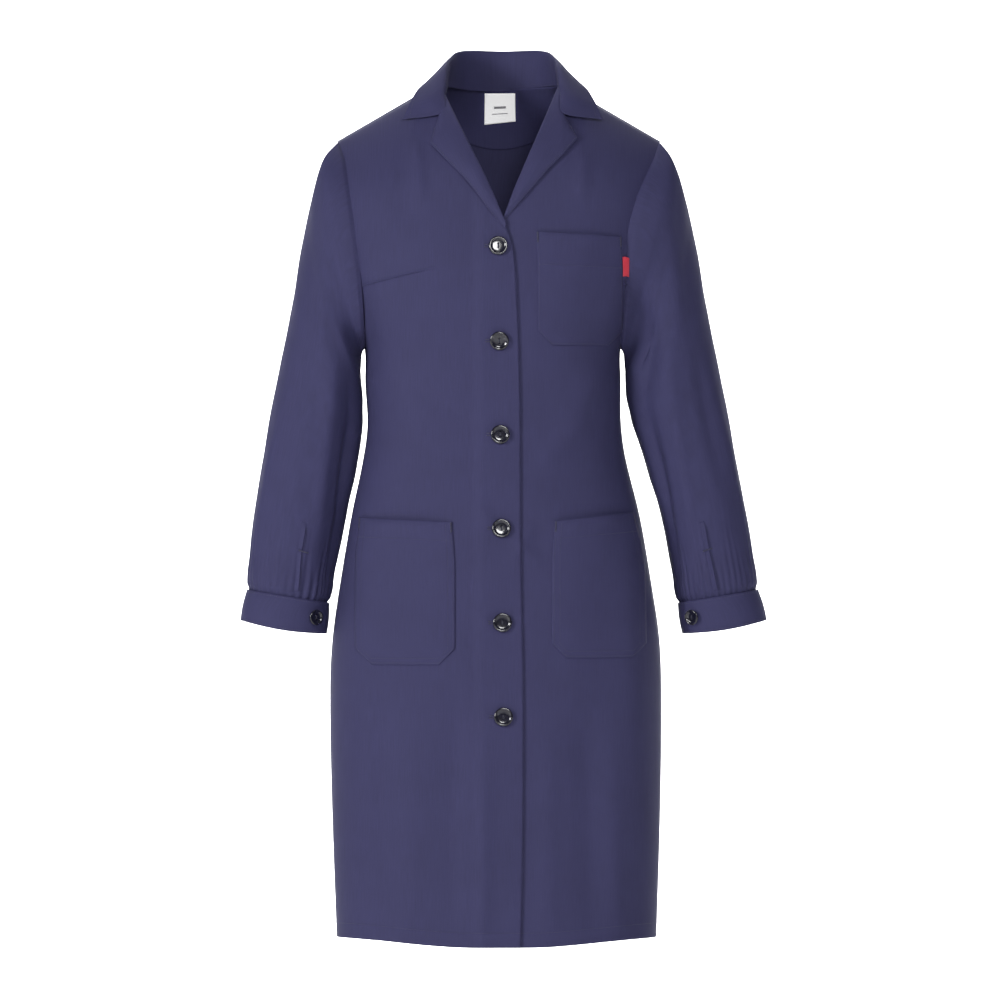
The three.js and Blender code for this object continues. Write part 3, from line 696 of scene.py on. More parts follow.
def hem_z(x):
    """The hem hangs lowest in the middle and rises a centimetre at the sides."""
    return HEM_Z + HEM_RISE * ease((np.abs(x) - 0.03) / 0.16)


# Sleeve tables in millimetres: armhole x and z, outer edge x and z, gap to the body by height.
ARMS = {
    "right": {
        "side": -1,
        "armhole": [
            [190, -62], [182, -84], [176, -118], [168, -175], [162, -233], [158.5, -300],
        ],
        "outer": [
            [192, -63], [203, -79], [214, -107], [224, -147], [242, -247],
            [256, -317], [269, -387], [281, -457], [291, -527], [296, -586],
        ],
        "gap": [[-300, 6], [-345, 5], [-387, 5], [-457, 6], [-527, 6], [-600, 8], [-640, 10]],
    },
    "left": {
        "side": 1,
        "armhole": [
            [187, -62], [181, -80], [169, -106], [159, -131], [149, -169], [145, -212], [141, -300],
        ],
        "outer": [
            [189, -63], [198, -79], [210, -107], [221, -147], [240, -247],
            [254, -317], [267, -387], [280, -457], [293, -527], [302, -586],
        ],
        "gap": [[-300, 6], [-345, 6], [-387, 12], [-429, 21], [-499, 25], [-600, 26], [-640, 27]],
    },
}
for arm in ARMS.values():
    armhole, outer, gap = (np.array(arm[key]) / 1000 for key in ("armhole", "outer", "gap"))
    arm["armhole_x"] = track(armhole[:, 1], armhole[:, 0] * arm["side"])
    arm["outer_x"] = track(outer[:, 1], outer[:, 0] * arm["side"])
    arm["gap_at"] = track(gap[:, 0], gap[:, 1])
    arm["tip"] = armhole[0, 1]
    arm["top_z"], arm["foot_z"] = outer[0, 1], outer[-1, 1]


def outer_x(z, name):
    """Outer side of a front: the armhole, and the side seam below it."""
    side, seam = ARMS[name]["side"], seam_x(z, ARMS[name]["side"])
    hole = ARMS[name]["armhole_x"](z)
    inner = np.maximum(hole, seam) if side < 0 else np.minimum(hole, seam)
    return np.where(z < UNDERARM_Z, seam, inner)


def inner_x(z, name):
    """Inner side of a front: the roll line, and the free edge below the break."""
    if name == "left":
        return np.maximum(roll_x(z), -LAP_EDGE)
    share = np.clip((z - BREAK_Z) / (ROLL_TOP_Z - BREAK_Z), 0, None)
    open_part = mix(front_edge(np.array(BREAK_Z)), -ROLL_TOP_X, share)
    return np.where(z > BREAK_Z, open_part, front_edge(z))


# %% [markdown]
# ## The two fronts
# Each front is one cloth from the shoulder to the hem. Its rows start along the sloping shoulder
# and turn level towards the waist. The right front laps over the left one, so it is lifted near
# its free edge only, and its edge is a turned fold that rounds down towards the cloth below.

# %% Fronts
COLUMNS, ROWS_TOP, ROWS_LOW = 104, 130, 230


def lap_lift(x):
    """The right front climbs over the left one across the last centimetres of the lap."""
    return FRONT_LIFT + LAP_LIFT * ease((x + LAP_EDGE + 0.014) / 0.016)


def front_grid(name):
    side = ARMS[name]["side"]
    u = shares_across(COLUMNS)
    across = mix(u, 1 - np.cos(np.pi * 0.5 * u), 0.5)
    v = shares_down(ROWS_TOP)
    near = 1 - (1 - v) ** 1.2
    tip = ARMS[name]["armhole_x"](np.array(ARMS[name]["tip"]))
    edge_z = mix(ridge(tip), CUT_Z, near)
    neck_z = mix(ridge(np.array(side * NECK_HALF)), CUT_Z, near)
    start, end = outer_x(edge_z, name), inner_x(neck_z, name)
    x_top = mix(start, end, across)
    z_top = mix(edge_z, neck_z, (x_top - start) / (end - start))
    z_top = np.minimum(z_top, ridge(x_top))
    w = np.linspace(0, 1, ROWS_LOW)[1:, None]
    level = mix(CUT_Z, HEM_Z, w)
    x_low = mix(outer_x(level, name), inner_x(level, name), across)
    z_low = mix(CUT_Z, hem_z(x_low), w)
    return np.concatenate([x_top, x_low]), np.concatenate([z_top, z_low])


for name, field in FRONTS:
    x, z = front_grid(name)
    lift = lap_lift(x) if name == "right" else FRONT_LIFT
    points = front_at(x, z, lift)
    outward = -1 if name == "right" else 1
    nodes = [f"{name}_front_upper", f"{name}_front_lower"]
    nodes += ["right_band_upper", "right_band_lower"] if name == "right" else []
    worn = (field, "twill", nodes, "hung", ["back"])
    panel(f"{name}_front", points, CLOTH, TWILL, outward, worn, (x, z))

for name, field in FRONTS:
    z = np.linspace(FACING_TOP_Z, HEM_Z + FACING_HEM_RISE, 200)[:, None]
    side = ARMS[name]["side"]
    free = inner_x(z, name) + side * FACING_INSET
    far = free + side * FACING_WIDTH
    x = mix(np.minimum(free, far), np.maximum(free, far), shares_across(24))
    lift = FACING_LIFT + (lap_lift(x) if name == "right" else 0.0)
    points = front_at(x, z, lift)
    nodes = [f"{name}_facing_upper", f"{name}_facing_lower"]
    worn = (field, "twill_inside", nodes, "hung", [f"{name}_front"])
    panel(f"{name}_facing", points, CLOTH, TWILL_INSIDE, -1, worn, (x, z))

# %% [markdown]
# ## The back
# The back is one cloth from the neck and shoulders to the hem. Its side edges run a little way
# under the fronts, as a seam allowance does, so the side seams stay closed when a front swings.

# %% Back
ALLOWANCE = 0.016
BACK_TIP_Z = -0.064
SEAM_SINK = 0.0016  # the allowance lies this far under the front
BACK_GRAIN = 0.19  # metres of cloth to a radian of turn


def back_top(x):
    """Upper edge of the back: the shoulder line outside the neck, and a shallow scoop inside."""
    out = np.abs(x - SHOULDER_CENTRE)
    return np.where(out > NECK_HALF, ridge(x), NECK_SIDE_Z * ease(out / NECK_HALF))


def seam_turn(z, side):
    """Turn of the side seam, carried on under the front by the seam allowance."""
    turn = turn_of(seam_x(z, side), z, True)
    reach = ALLOWANCE / front_depth(z)
    return turn + reach if side < 0 else turn - 2 * math.pi - reach


def back_drape(turn, z):
    """Slow waves round the back that grow towards the hem: the back of a coat is fullest there."""
    skirt = ease((-0.45 - z) / 0.5)
    inside = ease((1.35 - np.abs(turn)) / 0.5)
    waves = 0.0055 * skirt * wobble(turn * 3.1, 4.0) + 0.0016 * wobble(turn * 2.0 + z * 8, 1.0)
    return waves * inside


def back_at(turn, z, lift=0.0):
    """Points of the back a lift above the form; its waves fade out at the shoulders."""
    normal = form_normal(turn, z)
    settle = ease((ridge(form(turn, z)[..., 0]) - z) / 0.06)
    return form(turn, z) + normal * (lift + back_drape(turn, z) * settle)[..., None]


u = shares_across(170)
t = shares_down(100) ** 1.35
level = mix(BACK_TIP_Z, UNDERARM_Z, t)
to_seam = ease((t - 0.8) / 0.2)
edges = []
for name in ("left", "right"):
    hole = turn_of(ARMS[name]["armhole_x"](level), level, False)
    edges.append(mix(hole, seam_turn(level, ARMS[name]["side"]), to_seam))
turn = mix(edges[0], edges[1], u)
x = form(turn, level)[..., 0]
z_top = np.minimum(level + (back_top(x) - BACK_TIP_Z) * (1 - t) ** 1.5, back_top(x))
same_x = ease((1.45 - np.abs(turn)) / 0.3)
turn_top = mix(turn, turn_of(x, z_top, False), same_x)
w = np.linspace(0, 1, 190)[1:, None]
level = mix(UNDERARM_Z, HEM_Z, w)
turn_low = mix(seam_turn(level, 1), seam_turn(level, -1), u)
z_low = mix(UNDERARM_Z, hem_z(form(turn_low, level)[..., 0]), w)
turn, z = np.concatenate([turn_top, turn_low]), np.concatenate([z_top, z_low])
tuck = -SEAM_SINK * ease((np.abs(turn) - 1.62) / 0.10)
worn = ("body", "twill", ["back_panel"], "hung", ["upper_collar"])
panel("back", back_at(turn, z, tuck), CLOTH, TWILL, -1, worn, (turn * BACK_GRAIN, z))

# %% [markdown]
# ## Sleeves
# A sleeve is a tube whose rings hang between an outer and an inner rail. At the top it follows the
# armhole and slips just under the panels, which leaves the sunk line of a real armhole seam. It
# breaks into long soft folds, and at the foot its fullness is gathered into the cuff.

# %% Sleeves
SLEEVE_INNER_Z = -0.602
SLEEVE_CREEP = 2.4
sleeve_depth = track([0, 0.3, 0.6, 1], [0.064, 0.062, 0.055, 0.043])
SEAM_TUCK = 0.0015
GATHERS = 34  # round a sleeve
GATHER_END = 0.985  # share of the sleeve's length where the gathers reach the cuff
SLEEVE_GIRTH, SLEEVE_LENGTH = 0.06, 0.56  # scale of the grain round and down a sleeve

# Turn share and run of each sleeve fold, its half width in turns, and its height in metres.
SLEEVE_FOLDS = {
    "right": [
        [0.70, 0.30, 0.90, 0.035, 0.0032],
        [0.78, 0.05, 0.55, 0.040, 0.0030],
        [0.86, 0.35, 0.80, 0.030, -0.0026],
        [0.62, 0.45, 0.97, 0.028, 0.0034],
        [0.56, 0.40, 0.80, 0.030, -0.0040],
        [0.92, 0.55, 0.97, 0.030, 0.0022],
        [0.30, 0.30, 0.95, 0.050, 0.0040],
        [0.16, 0.20, 0.80, 0.040, -0.0030],
        [0.585, 0.25, 1.10, 0.060, -0.0090],
    ],
    "left": [
        [0.72, 0.28, 0.92, 0.035, 0.0032],
        [0.80, 0.04, 0.50, 0.040, 0.0030],
        [0.87, 0.40, 0.85, 0.030, -0.0024],
        [0.64, 0.42, 0.97, 0.028, 0.0030],
        [0.57, 0.45, 0.85, 0.030, -0.0036],
        [0.93, 0.50, 0.97, 0.030, 0.0020],
        [0.32, 0.30, 0.95, 0.050, 0.0040],
        [0.18, 0.20, 0.80, 0.040, -0.0030],
        [0.655, -0.10, 0.50, 0.060, -0.0115],
        [0.590, 0.20, 1.10, 0.055, -0.0070],
    ],
}


def sleeve_base(name, u, v):
    """Ring point: x from outer to inner by (1 - cos) / 2, y by a squared-off sine, z between."""
    arm = ARMS[name]
    u, v = together(u, v)
    turn = 2 * np.pi * u
    high = mix(arm["top_z"], arm["foot_z"], v**1.25)
    low = mix(UNDERARM_Z, SLEEVE_INNER_Z, v**SLEEVE_CREEP * 0.5 + v * 0.5)
    body_side = right_side if arm["side"] < 0 else left_side
    share = (1 - np.cos(turn)) / 2
    level = mix(high, low, share)
    seam = arm["armhole_x"](level) - arm["side"] * SEAM_TUCK
    front = np.sin(turn) < 0
    seam_y = np.where(
        front,
        form(turn_of(seam, level, True), level)[..., 1],
        form(turn_of(seam, level, False), level)[..., 1],
    )
    ring_x = mix(arm["outer_x"](high), body_side(low) + arm["side"] * arm["gap_at"](low), share)
    ring_y = MIDDLE_Y + sleeve_depth(v) * oval(np.sin(turn))
    away = ease(v / 0.3)
    x = mix(seam, ring_x, 1 - (1 - np.clip(v / 0.10, 0, 1)) ** 3)
    return np.stack([x, mix(seam_y, ring_y, away), level], axis=-1)


def sleeve_drape(name, u, v):
    """Folds that run down the sleeve, gathers that fade in at the foot, and the tucked ends."""
    total = np.zeros(np.broadcast(u, v).shape)
    for place, begin, end, width, height in SLEEVE_FOLDS[name]:
        span = ease((v - begin) / 0.22) * ease((end - v) / 0.18)
        lean = place + 0.03 * np.sin(v * 5 + place * 9)
        away = (u - lean + 0.5) % 1.0 - 0.5
        total = total + height * span * np.exp(-((away / width) ** 2))
    phase = ARMS[name]["side"] * 0.7
    gathers = np.sin(2 * np.pi * (GATHERS * u + 0.9 * np.sin(7 * u + phase)) + phase)
    fullness = 0.30 + 0.90 * np.exp(-(((u - 0.60) / 0.10) ** 2))
    reach = 0.86 + 0.07 * np.sin(2 * np.pi * (9 * u + 0.3))
    total = total + 0.0014 * gathers * fullness * ease((v - reach) / (GATHER_END - reach))
    soft = 0.0010 * wobble(v * 14 + np.sin(2 * np.pi * u) * 2.5, 2.2) * ease(v / 0.2)
    head = 0.0022 * ease(v / 0.02) * (1 - ease(v / 0.16)) - 0.0004
    ends = head - 0.0026 * ease((v - GATHER_END) / 0.012)
    puff = 0.0010 * np.exp(-(((v - 0.965) / 0.02) ** 2))
    return total + soft + ends + puff


def sleeve_at(name, u, v, lift=0.0):
    """Points of a sleeve: ring point + outward normal * (lift + drape)."""
    step = 1e-3
    u, v = together(u, v)
    along = sleeve_base(name, u + step, v) - sleeve_base(name, u - step, v)
    lower, upper = np.minimum(v + step, 1), np.maximum(v - step, 0)
    down = sleeve_base(name, u, lower) - sleeve_base(name, u, upper)
    n = unit(-ARMS[name]["side"] * np.cross(along, down))
    return sleeve_base(name, u, v) + n * (lift + sleeve_drape(name, u, v))[..., None]


for name, field in (("right", RIGHT_SLEEVE), ("left", LEFT_SLEEVE)):
    u = np.linspace(0, 1, 201)[None, :-1]
    v = shares_down(230)
    side = ARMS[name]["side"]
    grain = (np.sin(2 * np.pi * u) * SLEEVE_GIRTH, -SLEEVE_LENGTH * v)
    worn = (field, "twill", [f"{name}_sleeve"], "hung", [f"{name}_front", "back"])
    panel(f"{name}_sleeve", sleeve_at(name, u, v), CLOTH, TWILL, -side, worn, grain, True)

# %% [markdown]
# ## Cuffs and plackets
# A cuff is a stiff band that goes once round the wrist and laps over itself, held by a button. A
# slit runs up from the cuff so that the hand can pass. It is bound by a narrow placket, with a
# bar of dense stitches where the slit ends.

# %% Cuffs and plackets
CUFF_HEIGHT = 0.036
CUFF_LAP = 24 / 360
CUFF_EASE = 0.0006
LAYER = 0.0016
CUFF_SPREAD = 0.005
CUFF_START = 0.66
PLACKET_TURNS = {"right": 0.722, "left": 0.745}
PLACKET_CLOTH, PLACKET_SINK = 0.0006, 0.0012
PLACKET_SHARE = 0.050  # width of a placket as a share of the way round the sleeve
PLACKET_RUN = 0.150  # length of a placket as a share of the sleeve's
CUFF_CLOTH = 0.0014


def cuff_at(name, u, v, lift=0.0):
    """Strip that winds round the sleeve's foot: foot + inward * ease + down * height."""
    u, v = together(u, v)
    around = (CUFF_START - u * (1 + CUFF_LAP)) % 1.0
    foot = sleeve_base(name, around, 1.0)
    ends = sleeve_base(name, np.array([0.0, 0.5, 0.0]), np.array([1.0, 1.0, 0.94]))
    drop = ends[0] - ends[2]
    drop /= np.linalg.norm(drop)
    inward = (ends[0] + ends[1]) / 2 - foot
    inward /= np.linalg.norm(inward, axis=-1, keepdims=True)
    flare = 0.0012 * np.sin(np.pi * np.clip(v, 0, 1))
    depth = CUFF_EASE + LAYER * (1 - u) - flare - lift
    outer = (1 + np.cos(2 * np.pi * around)) / 2
    sag = 0.0035 * np.sin(np.pi * outer) * np.clip(v, 0, 1)
    down = drop * (CUFF_HEIGHT * v - 0.0012 + sag)[..., None]
    spread = np.array([ARMS[name]["side"] * CUFF_SPREAD, 0.0, 0.0]) * (outer * v)[..., None]
    return foot + inward * depth[..., None] + down + spread


def surface_normal(surface, u, v, sign):
    """Normal of any surface function by its slopes in u and v."""
    step = 2e-3
    across, down = surface(u + step, v) - surface(u - step, v), surface(u, v + step)
    return sign * unit(np.cross(across, down - surface(u, v - step)))


for name in ("right", "left"):
    side = ARMS[name]["side"]
    points = cuff_at(name, shares_across(260), shares_down(22))
    worn = (f"{name}_arm", "twill", [f"{name}_cuff"], "stretched", [f"{name}_sleeve"])
    panel(f"{name}_cuff", points, CUFF_CLOTH, TWILL, side, worn)
    u = PLACKET_TURNS[name] + (shares_across(9) - 0.5) * PLACKET_SHARE
    v = GATHER_END - PLACKET_RUN * (1 - shares_down(60))
    points = sleeve_at(name, u, v, -PLACKET_SINK)
    worn = (f"{name}_arm", "twill", [f"{name}_placket"], "laid", [f"{name}_sleeve"])
    panel(f"{name}_placket", points, PLACKET_CLOTH, TWILL, -side, worn)

# %% [markdown]
# ## Lapels
# A lapel is the front's own facing turned outwards. Along the roll line it turns in a soft round
# fold, and from there it lies on the front and ends in a point. Its edge stands off a little, which
# draws the dark line under it.

# %% Lapels
# Outer edge from the gorge past the notch and point to the break: x and z in millimetres.
LAPEL_EDGES = {
    "right": [
        [63, -12], [69.6, -32], [80.5, -68], [62, -87],
        [42.5, -106], [28, -124], [13, -145], [-6, -166],
    ],
    "left": [
        [70, -12], [71.5, -30], [90, -61.5], [74, -79],
        [56.5, -96.5], [30, -127], [17, -142], [-3, -166],
    ],
}
LAPEL_KNOTS = [0.0, 0.08, 0.24, 0.38, 0.52, 0.68, 0.84, 1.0]
LAPEL_ROLL, LAPEL_CLOTH = 0.0018, 0.0012
ROLL_SHARE = 0.16  # of a lapel's rows, taken up by the turn
ROLL_FOOT_Z = BREAK_Z - 0.004


def lapel_at(name, u, v, lift=0.0):
    """Rows run from the roll line to the edge: a half circle of turn, then flat cloth."""
    side = ARMS[name]["side"]
    edge = millimetres(LAPEL_EDGES[name])
    z0 = mix(0.0, ROLL_FOOT_Z, v)
    x0 = side * inner_x(z0, name)
    x1 = np.interp(v, LAPEL_KNOTS, edge[:, 0])
    z1 = np.interp(v, LAPEL_KNOTS, edge[:, 1])
    arc = np.clip(u / ROLL_SHARE, 0, 1)
    flat = np.clip((u - ROLL_SHARE) / (1 - ROLL_SHARE), 0, 1)
    size = LAPEL_ROLL * (1 - 0.75 * ease((v - 0.7) / 0.3))
    angle = np.pi * (arc - 0.5)
    x = mix(x0, x1, flat) - 1.4 * size * np.cos(angle) * (flat <= 0)
    z = mix(z0, z1, flat)
    base = lap_lift(side * x0) if name == "right" else FRONT_LIFT
    height = base + size * (1 + np.sin(angle)) + 0.0008 - 0.0014 * ease(flat)
    belly = 0.0020 * np.sin(np.pi * flat) * (1 - ease((v - 0.6) / 0.4))
    return front_at(side * x, z, height + belly + lift)


for name, field in FRONTS:
    points = lapel_at(name, shares_across(60), shares_down(110))
    worn = (field, "twill", [f"{name}_lapel"], "folded", [f"{name}_front"])
    panel(f"{name}_lapel", points, LAPEL_CLOTH, TWILL, -ARMS[name]["side"], worn)

# %% [markdown]
# ## Collar
# The collar stands up from the neck seam, rolls over and falls as a leaf. It is two cloths with a
# canvas between them. Four rails give its shape: neck seam, roll edge, middle and edge of the leaf.

# %% Collar
COLLAR_CENTRE = 0.003
COLLAR_CLOTH, COLLAR_LAYER = 0.0006, 0.0009
RAIL_SHARES = np.array([0.0, 0.36, 0.68, 1.0])  # where the rails lie down the collar
# Each station gives the neck, roll, middle and edge points as x, y, z in millimetres.
COLLAR = millimetres(
    [
        [[0, 0, -2], [0, 3, 44.5], [0, 15, 20], [0, 19, -14]],
        [[40, -20, -1], [46, -14, 44.5], [52, -2, 20], [56, -3, -10]],
        [[64, -58, 2], [60, -45, 36], [72, -42, 20], [84, -50, 3]],
        [[65, -80, 1], [66, -80, 24], [82, -84, 12], [96, -88, 0]],
        [[66, -96, -4], [68, -104, 5], [84, -117, -10], [107, -108, -17]],
        [[67, -106, -9], [68, -115, -9], [71, -134, -31], [117, -122, -38]],
    ]
)
mirrored = COLLAR[:0:-1] * np.array([-1, 1, 1])
rail_points = np.concatenate([mirrored, COLLAR]) + np.array([COLLAR_CENTRE, 0, 0])
rails = [
    [track(np.linspace(0, 1, 11), rail_points[:, k, axis]) for axis in range(3)] for k in range(4)
]


def collar_base(u, v):
    """Cubic through the four rails at each u, as v runs from the neck seam to the leaf's edge."""
    u, v = together(u, v)
    p = [np.stack([curve(u) for curve in rail], axis=-1) for rail in rails]
    at = RAIL_SHARES
    slopes = [
        (p[1] - p[0]) / (at[1] - at[0]),
        (p[2] - p[0]) / (at[2] - at[0]),
        (p[3] - p[1]) / (at[3] - at[1]),
        (p[3] - p[2]) / (at[3] - at[2]),
    ]
    total = np.zeros(u.shape + (3,))
    for k in range(3):
        inside = (v >= at[k]) & ((v < at[k + 1]) | (k == 2))
        width = at[k + 1] - at[k]
        s = np.where(inside, (v - at[k]) / width, 0.0)[..., None]
        up = s * s * (3 - 2 * s)
        bend = s * (1 - s) * width * ((1 - s) * slopes[k] - s * slopes[k + 1])
        total += np.where(inside[..., None], p[k] * (1 - up) + p[k + 1] * up + bend, 0.0)
    return total


def collar_at(u, v, lift=0.0):
    """Points of the collar a lift outside its middle cloth."""
    n = surface_normal(collar_base, np.clip(u, 0.003, 0.997), np.clip(v, 0.003, 0.997), 1)
    return collar_base(u, v) + n * np.asarray(lift)[..., None]


u = shares_across(221)
for name, lift, finish, slot_name, first, last, inset in (
    ("upper_collar", COLLAR_LAYER, TWILL, "twill", 0.0, 1.0, 0.0),
    ("collar_interfacing", 0.0, CANVAS, "interfacing", 0.5, 0.90, 0.012),
    ("under_collar", -COLLAR_LAYER, TWILL, "twill", 0.0, 0.975, 0.012),
):
    v = np.linspace(first, last, 90)[:, None]
    points = collar_at(mix(inset, 1 - inset, u), v, lift)
    worn = ("body", slot_name, [name], "folded", ["back"])
    panel(name, points, COLLAR_CLOTH, finish, 1, worn, (0.5 * u, 0.09 * v))

# %% [markdown]
# ## Inside the neck
# A shaped facing lines the back of the neck, and a label is sewn on it. The label here carries two
# plain woven bars in place of any words.

# %% Neck facing and label
NECK_FACING_SINK, NECK_FACING_DROP, NECK_FACING_INSET = 0.0011, 0.070, 0.005
LABEL_HALF, LABEL_DROP, LABEL_TOP_Z = 0.0187, 0.033, -0.002
LABEL_SLANT = 0.004  # the label hangs this much lower at the wearer's right
LABEL_SINK, LABEL_CLOTH = 0.0032, 0.0004
BAR_SINK, BAR_CLOTH = 0.0036, 0.0001
# Each bar's ends across the label and its upper and lower edge down it, as shares.
LABEL_BARS = ((0.30, 0.70, 0.42, 0.50), (0.24, 0.76, 0.66, 0.69))


def inner_back(x, z, lift):
    return back_at(turn_of(x, z, False), z, lift)


def label_at(u, v, sink):
    """Points of the label, which sags a little between its sewn top and its free foot."""
    x = mix(LABEL_HALF, -LABEL_HALF, u) + 0.0 * v
    belly = 0.0010 * np.sin(np.pi * v) * (0.6 + 0.4 * np.sin(5 * u))
    return inner_back(x, LABEL_TOP_Z - (LABEL_DROP + LABEL_SLANT * u) * v, -sink - belly)


u = shares_across(50)
x = mix(NECK_HALF - NECK_FACING_INSET, -NECK_HALF + NECK_FACING_INSET, u)
drop = NECK_FACING_DROP * np.sqrt(1 - (0.75 * (2 * u - 1)) ** 2)
points = inner_back(x, 0.5 * back_top(x) + 0.001 - drop * shares_down(40), -NECK_FACING_SINK)
worn = ("body", "twill_inside", ["back_neck_facing"], "hung", ["back"])
panel("back_neck_facing", points, CLOTH / 2, TWILL_INSIDE, -1, worn)

u, v = shares_across(24), shares_down(24)
worn = ("body", "label", ["neck_label"], "hung", ["back_neck_facing"])
panel("neck_label", label_at(u, v, LABEL_SINK), LABEL_CLOTH, LABEL, -1, worn)
for number, (left, right, high, low) in enumerate(LABEL_BARS, 1):
    points = label_at(1 - mix(left, right, u), mix(high, low, v), BAR_SINK)
    wear(cloth(f"label_bar_{number}", points, BAR_CLOTH, LABEL_MARK, 1), "body", "label")

# %% [markdown]
# ## Pockets
# A patch pocket is cloth with its edges turned under and two corners cut away, sewn close to the
# edge. Its mouth is free and stands off a little. The red tab is sewn at the chest pocket's side.

# %% Pockets
POCKET_CLOTH, SIDE_CLEARANCE = 0.0010, 0.004
TAB_X, TAB_Z, TAB_CLOTH = (0.1405, 0.1500), (-0.198, -0.220), 0.0007
# Mouth from x, z to x, z, foot z, cut corner, sides at the foot, field, hem and standing height.
POCKETS = {
    name: dict(zip(("top", "foot", "cut", "side", "field", "hem", "stand"), row))
    for name, *row in (
        ("chest_pocket", (0.042, -0.169, 0.140, -0.174), -0.301, 0.017,
         (0.0435, 0.140), LEFT_FRONT, 0.038, 0.0020),
        ("right_lower_pocket", (-0.162, -0.501, -0.055, -0.506), -0.672, 0.019,
         (-0.166, -0.052), RIGHT_FRONT, 0.023, 0.0032),
        ("left_lower_pocket", (0.063, -0.505, 0.155, -0.495), -0.664, 0.017,
         (0.060, 0.168), LEFT_FRONT, 0.021, 0.0032),
    )
}


def pocket_plan(shape, u, v):
    """Flat outline: a sloping mouth, two nearly straight sides and cut corners at the foot."""
    x0, z0, x1, z1 = shape["top"]
    z = mix(mix(z0, z1, u), shape["foot"], v)
    cut = np.maximum(0, shape["cut"] - (z - shape["foot"]))
    low = mix(x0, shape["side"][0], ease(v * 3)) + cut
    high = mix(x1, shape["side"][1], ease(v * 3)) - cut
    room = (seam_x(z, 1) if x1 > 0 else -seam_x(z, -1)) - SIDE_CLEARANCE
    low, high = np.maximum(low, -room if x0 < 0 else low), np.minimum(high, room)
    return mix(low, high, u), z


def pocket_at(shape, u, v, lift=0.0):
    """Lift of the cloth: low at the sewn edges, a soft belly inside, and a standing mouth."""
    x, z = pocket_plan(shape, u, v)
    belly = np.sin(np.pi * u) ** 0.5 * (1 - v**8) * ease(v / 0.1 + 0.55)
    mouth = 0.9 * np.sin(np.pi * u) ** 0.8 * ease((0.16 - v) / 0.16)
    slack = 0.0006 * wobble(u * 7 + v * 5, 2.0) * np.sin(np.pi * u) * (1 - v)
    height = POCKET_LIFT + shape["stand"] * (belly * 0.75 + mouth) + slack
    return front_at(x, z, height + lift)


for name, shape in POCKETS.items():
    points = pocket_at(shape, shares_across(84), shares_down(110))
    worn = (shape["field"], "twill", [name], "laid", [shape["field"][1]])
    panel(name, points, POCKET_CLOTH, TWILL, -1, worn)

u, v = shares_across(10), shares_down(20)
x, z = mix(*TAB_X, u) + 0.0 * v, mix(*TAB_Z, v) + 0.0006 * np.sin(6 * u)
points = front_at(x, z, POCKET_LIFT + 0.0010 * ease(u * 2) + 0.0003)
worn = (LEFT_FRONT, "tab", ["pocket_tab"], "laid", ["left_front"])
panel("pocket_tab", points, TAB_CLOTH, TAB, -1, worn)


# %% [markdown]
# ## Thread
# Seams are what makes cloth look sewn. A row of stitches is many short capsules along a path, laid
# on the cloth with its normals. Each has only a few faces, and one row is one mesh.

# %% Stitches
STITCH_SIDES = 6
STITCH_PROFILE = np.array([[-0.5, 0.25], [-0.36, 0.9], [0.0, 1.0], [0.36, 0.9], [0.5, 0.25]])
STITCH_RISE = CLOTH / 2 + 0.0002
STITCH_PITCH, STITCH_RADIUS, STITCH_SHARE = 0.0027, 0.00019, 0.78


def capsules(name, middles, along, up, length, radius, finish):
    """Capsules: middle + along * length * t + ring of a radius, arched down at both ends."""
    count, rings = len(middles), len(STITCH_PROFILE)
    along = unit(along)
    beside = unit(np.cross(along, up))
    up = np.cross(beside, along)
    t, fat = STITCH_PROFILE[:, 0], STITCH_PROFILE[:, 1] * radius
    angle = np.arange(STITCH_SIDES) * 2 * np.pi / STITCH_SIDES
    length = np.broadcast_to(length, (count,))
    spine = middles[:, None] + along[:, None] * (length[:, None] * t)[..., None]
    spine = spine - up[:, None] * (radius * 2.2 * (2 * t) ** 2)[None, :, None]
    ring = beside[:, None, None] * np.cos(angle)[None, None, :, None]
    ring = ring + up[:, None, None] * np.sin(angle)[None, None, :, None]
    points = (spine[:, :, None] + ring * fat[None, :, None, None]).reshape(-1, 3)
    one = grid_faces(rings, STITCH_SIDES, True, False)
    start = (np.arange(count) * rings * STITCH_SIDES)[:, None, None]
    return new_object(name, points, (one[None] + start).reshape(-1, 4), finish)


def spaced(points, pitch):
    """Points, directions and spacing of marks set a pitch apart along a line of points."""
    run = np.concatenate([[0], np.cumsum(np.linalg.norm(np.diff(points, axis=0), axis=1))])
    count = max(int(run[-1] / pitch), 1)
    at = (np.arange(count) + 0.5) * run[-1] / count
    place = lambda d: np.stack([np.interp(d, run, points[:, k]) for k in range(3)], axis=1)
    return place(at), place(at + pitch * 0.3) - place(at - pitch * 0.3), at / run[-1]


def ups_at(share, up):
    """Normals at shares of a line, from the normals given at its points."""
    at = np.linspace(0, 1, len(up))
    return np.stack([np.interp(share, at, up[:, k]) for k in range(3)], axis=1)


def stitch_row(name, line, rides, pitch=STITCH_PITCH):
    """A row of running stitches along a line, which is a pair: points and their normals."""
    middles, along, share = spaced(line[0], pitch)
    ups = ups_at(share, line[1])
    row = capsules(name, middles, along, ups, pitch * STITCH_SHARE, STITCH_RADIUS, THREAD)
    wear(row, rides, "thread")


def surface_line(surface, u, v, lift, sign):
    """Line on any surface function with its normals."""
    return surface(u, v, lift), surface_normal(lambda a, b: surface(a, b, 0.0), u, v, sign)


# %% [markdown]
# ### Hem
# The hem is turned up and stitched 17 mm above its fold, round the fronts and the back.

